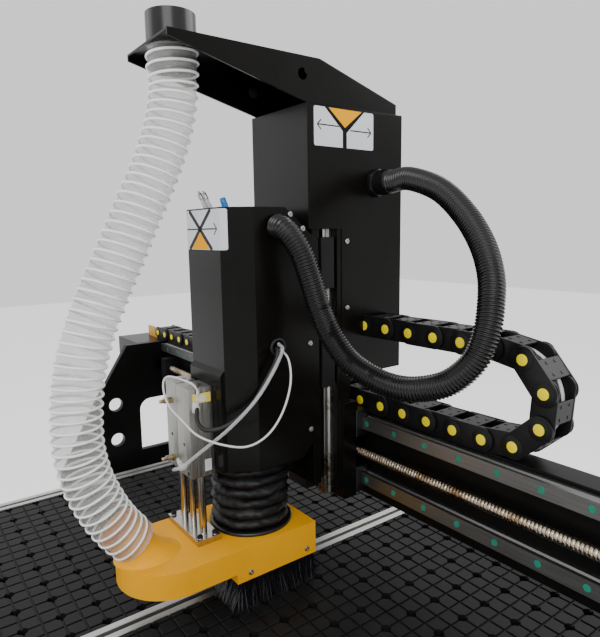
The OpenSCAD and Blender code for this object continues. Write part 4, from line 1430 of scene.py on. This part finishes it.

# %% [markdown]
# A retaining ring closes the top of each bore, the web between the two bodies is black as painted shade
# for the shaded floor of the slot, and the maker's sticker is a plain white tag.

# %% Cylinder collars and tag
collars = []
for x, radius in ((-44, 8), (1, 11)):
    collars.append(rod((x, -90.5, body_high.z - 1), (x, -90.5, body_high.z + 1), radius, 32, 0.5))
    collars.append(rod((x, -90.5, body_high.z + 0.6), (x, -90.5, body_high.z + 1.8), radius - 2.4, 32, 0.4))
bodies = [tint(part, cylinder_metal) for part in (guide, main, *collars)]
# The web is black as painted shade: it darkens the floor of the slot, which lies in shade.
bodies.append(tint(web, oxide_and_shade_black))
plate_tag = block((right - 0.2, -88, under + 8), (right + 0.4, -77, under + 26), 0.2, 1)
cylinder = join([*bodies, tint(plate_tag, label_white)], "air_cylinder_body")
rest(cylinder, "air_cylinder_body", home("air_cylinder"), None, ("air_cylinder",))

# %% [markdown]
# Three polished rods carry the shoe. They end in a square plate, held on the shoe by four cap screws.

# %% Rods and end plate
rounded("cylinder_rods", 0.5, chrome)
end_low, end_high = low("cylinder_rods") / MM, high("cylinder_rods") / MM
corner_places = [
    ((x, y, end_low.z + 9), (0, 0, 1))
    for x in (end_low.x + 7, end_high.x - 7)
    for y in (end_low.y + 7, end_high.y - 7)
]
set_heads("end_plate_screws", home("cylinder_rods"), corner_places, 4.4, 5.2, oxide_and_shade_black)

# %% [markdown]
# The sensor sits in a groove of the main body, behind a yellow tag. Below it the valve lead comes out of a
# grey elbow.

# %% Sensor tag and elbow
tag = tint(block((right - 0.4, -103.5, 1168), (right + 2.2, -75.5, 1182), 0.5, 1), tag_yellow)
tag_face = tint(block((right + 2, -98, 1170), (right + 2.6, -84, 1179), 0.2, 1), label_white)
elbow = tint(rod((25.5, -100.5, 1172), (25.5, -100.5, 1156), 5.4, 24, 1.6), fitting_grey)
nose = tint(rod((22, -100.5, 1163), (30.5, -100.5, 1163), 4.4, 24, 0.8), fitting_grey)
pin = tint(rod((24.5, -96, 1180), (24.5, -96, 1187), 2.3, 16, 0.5), fitting_grey)
sensor = join([tag, tag_face, elbow, nose, pin], "sensor_parts")
rest(sensor, "sensor_parts", home("position_sensor"), None, ("position_sensor",))

# %% [markdown]
# ## Line fittings
# Each flow control is a brass stack: a hexagon, a knurled cap and a thin stem. Two grey fittings stand
# beside the lower one, a short tube stub and the port of the air tube.

# %% Flow controls
parts = []
for z in (under + 14, over - 30):
    parts.append(tint(rod((-45, front + 2.2, z), (-45, front - 4, z), 5, 6, 0.4), brass))
    parts.append(tint(ribbed((-45, front - 4, z), (-45, front - 9.5, z), 4.3, 24, 0.35), zinc))
    parts.append(tint(rod((-45, front - 9.5, z), (-45, front - 16, z), 2.6, 20, 0.6), brass))
parts.append(tint(rod((-30, -105, under + 14), (-9, -112, under + 14.6), 4.2, 20, 0.8), fitting_grey))
parts.append(tint(rod((2, front + 1, 1070.6), (2, front - 9, 1070.6), 5.2, 24, 1.2), fitting_grey))
print(len(parts), "pieces on the cylinder's face")

# %% [markdown]
# On top of the cover stand two crimped tubes and a blue push-in fitting.

# %% Fittings on the cover
cover_high = high("cover_sides").z / MM
for x, y in ((-36, -38), (-29, -34)):
    root, tip = Vector((x, y, cover_high - 3)), Vector((x - 13, y - 6, cover_high + 24))
    mid = root.lerp(tip, 0.66)
    parts.append(tint(rod(root, mid, 3.1, 18, 0.4), fitting_grey))
    parts.append(tint(rod(mid, tip, 3.6, 18, 0.7), zinc))
    parts.append(tint(rod(tip, tip + (tip - root) * 0.12, 1.7, 14, 0.4), zinc))
parts.append(tint(rod((2, -28, cover_high - 4), (0, -29, cover_high + 7), 5.6, 6, 0.8), blue_plastic))
parts.append(tint(rod((0, -29, cover_high + 6), (-4, -30, cover_high + 15), 4.6, 20, 1.4), blue_plastic))
print(len(parts), "pieces with those on the cover")

# %% [markdown]
# A rubber grommet lines the hole in the cover's side, so that the sheet's edge can't cut the three lines.
# Its section, of radius and reach, is carried once round the hole.

# %% Grommet
profile = [
    (12.2, 0.2), (13.2, 1.2), (13.4, 2.6), (12.4, 4), (10.6, 4.2),
    (9.4, 3), (9.2, 1), (9.2, -2.5), (12.2, 0.2),
]
rings = [circle(spot(hood_half + reach, 8, 1244), REAR, UP, r * MM, 40) for r, reach in profile]
parts.append(tint(loft("grommet", rings, ends=False), rubber_and_shade_black))
rest(join(parts, "fittings_set"), "fittings_set", home("line_fittings"), None, ("line_fittings",), 40)

# %% [markdown]
# A black disc fills the spare hole in the arm's far web. It is painted shade: it keeps the hole dark, as
# the shade inside the arm does. The nut that closes the collet only needs its edges broken.

# %% Arm hole shade disc and collet nut
web_x = low("hose_arm").x / MM
cap_y, cap_z = low("hood_shell").y / MM - 2, high("hose_arm").z / MM - 25
# The black disc is painted shade: it stands for the shade seen through the hole in the arm.
cap = rod((web_x - 1.4, cap_y, cap_z), (web_x + 4.4, cap_y, cap_z), 8.6, 28, 0.8)
rest(cap, "arm_hole_shade_disc", home("hose_arm"), rubber_and_shade_black)
rounded("collet_nut", 0.8, collet_metal)

# %% [markdown]
# ## Direction plates
# Two printed plates tell the operator which way the head and the slide travel. Here they are generic: a
# white field, black bands, an amber wedge and thin arrows, with no words. Each shape is one thin leaf, and
# a leaf that is printed over another is lifted a little further.


# %% Leaves
def leaf(points, origin, along, up, lift=0.1, finish=label_white, thick=0.3):
    """A thin flat shape: outline points in millimetres on a plane, lifted off it and given thickness."""
    along, up = Vector(along), Vector(up)
    out = along.cross(up)
    shape = bmesh.new()
    places = [(Vector(origin) + along * u + up * v + out * lift) * MM for u, v in points]
    shape.faces.new([shape.verts.new(place) for place in places])
    grown = bmesh.ops.extrude_face_region(shape, geom=shape.faces[:])["geom"]
    bmesh.ops.translate(
        shape, vec=out * thick * MM, verts=[item for item in grown if isinstance(item, bmesh.types.BMVert)]
    )
    bmesh.ops.recalc_face_normals(shape, faces=shape.faces[:])
    return tint(piece_from(shape, "leaf"), finish)


def rounded_corner(u, v, radius, start):
    steps = [math.radians(start + 90 * k / 4) for k in range(5)]
    return [(u + radius * math.cos(t), v + radius * math.sin(t)) for t in steps]


def stroke(a, b, width=1.8):
    a, b = Vector(a), Vector(b)
    side = Vector((a.y - b.y, b.x - a.x)).normalized() * width / 2
    return [tuple(a - side), tuple(b - side), tuple(b + side), tuple(a + side)]


def arrow(tail, tip, size=7):
    sign = math.copysign(1, tip[0] - tail[0])
    return [
        stroke(tail, tip),
        stroke((tip[0] - sign * size, tip[1] + size), tip),
        stroke((tip[0] - sign * size, tip[1] - size), tip),
    ]


# %% [markdown]
# The hood's plate has two white fields with a dark Y between them, where the black hood shows through, and
# an amber wedge in the Y's mouth.

# %% Hood plate
CORNER = 3
wide, tall = 116, 55
where = dict(origin=(hood_half, 79, 1530), along=(0, 1, 0), up=(0, 0, 1))
white_left = [
    *rounded_corner(CORNER, CORNER, CORNER, 180), (54, 0), (54, 24), (20, tall),
    *rounded_corner(CORNER, tall - CORNER, CORNER, 90),
]
white_right = [
    (62, 0), *rounded_corner(wide - CORNER, CORNER, CORNER, 270),
    *rounded_corner(wide - CORNER, tall - CORNER, CORNER, 0), (97, tall), (62, 22),
]
leaves = [leaf(white_left, **where), leaf(white_right, **where)]
leaves.append(leaf([(58.5, 29), (92, tall), (27, tall)], finish=label_amber, **where))
for shape in (*arrow((47, 30), (6, 30)), *arrow((69, 26), (111, 26))):
    leaves.append(leaf(shape, lift=0.36, finish=label_black, thick=0.12, **where))
rest(join(leaves, "hood_plate"), "hood_plate", home("hood_sides"), None, (), 0)

# %% [markdown]
# The cover's plate is wrapped round both folds of the cover's front, so it is three white fields. A black
# cross and an amber wedge lie on the middle one.

# %% Cover plate
face_x, face_y, plate_z, tall = 49.5, -65.5, 1384, 56
slope_x, slope_y = 24.5, 39.5
slope, back = Vector((slope_x, slope_y, 0)).normalized(), Vector((slope_x, -slope_y, 0)).normalized()
where = dict(origin=(-face_x, face_y, plate_z), along=(1, 0, 0), up=(0, 0, 1))
right_field = [
    (0, 0), *rounded_corner(8, CORNER, CORNER, 270), *rounded_corner(8, tall - CORNER, CORNER, 0), (0, tall),
]
left_origin = Vector((-face_x, face_y, plate_z)) - back * 11
leaves = [leaf([(0, 0), (2 * face_x, 0), (2 * face_x, tall), (0, tall)], **where)]
leaves.append(leaf(right_field, (face_x, face_y, plate_z), slope, (0, 0, 1)))
leaves.append(leaf([(0, 0), (11, 0), (11, tall), (0, tall)], left_origin, back, (0, 0, 1)))
cross = 42
for a, b in (((cross - 35, 0), (cross + 33, tall)), ((cross + 35, 0), (cross - 33, tall))):
    leaves.append(leaf(stroke(a, b, 6.5), lift=0.3, finish=label_black, thick=0.15, **where))
wedge = [(cross - 28, 0.6), (cross + 28, 0.6), (cross, 25)]
leaves.append(leaf(wedge, lift=0.4, finish=label_amber, thick=0.15, **where))
for shape in arrow((1, 29), (92, 29), 8):
    leaves.append(leaf(shape, lift=0.44, finish=label_black, thick=0.12, **where))
rest(join(leaves, "cover_plate"), "cover_plate", home("spindle_cover"), None, (), 0)
print("plates made")
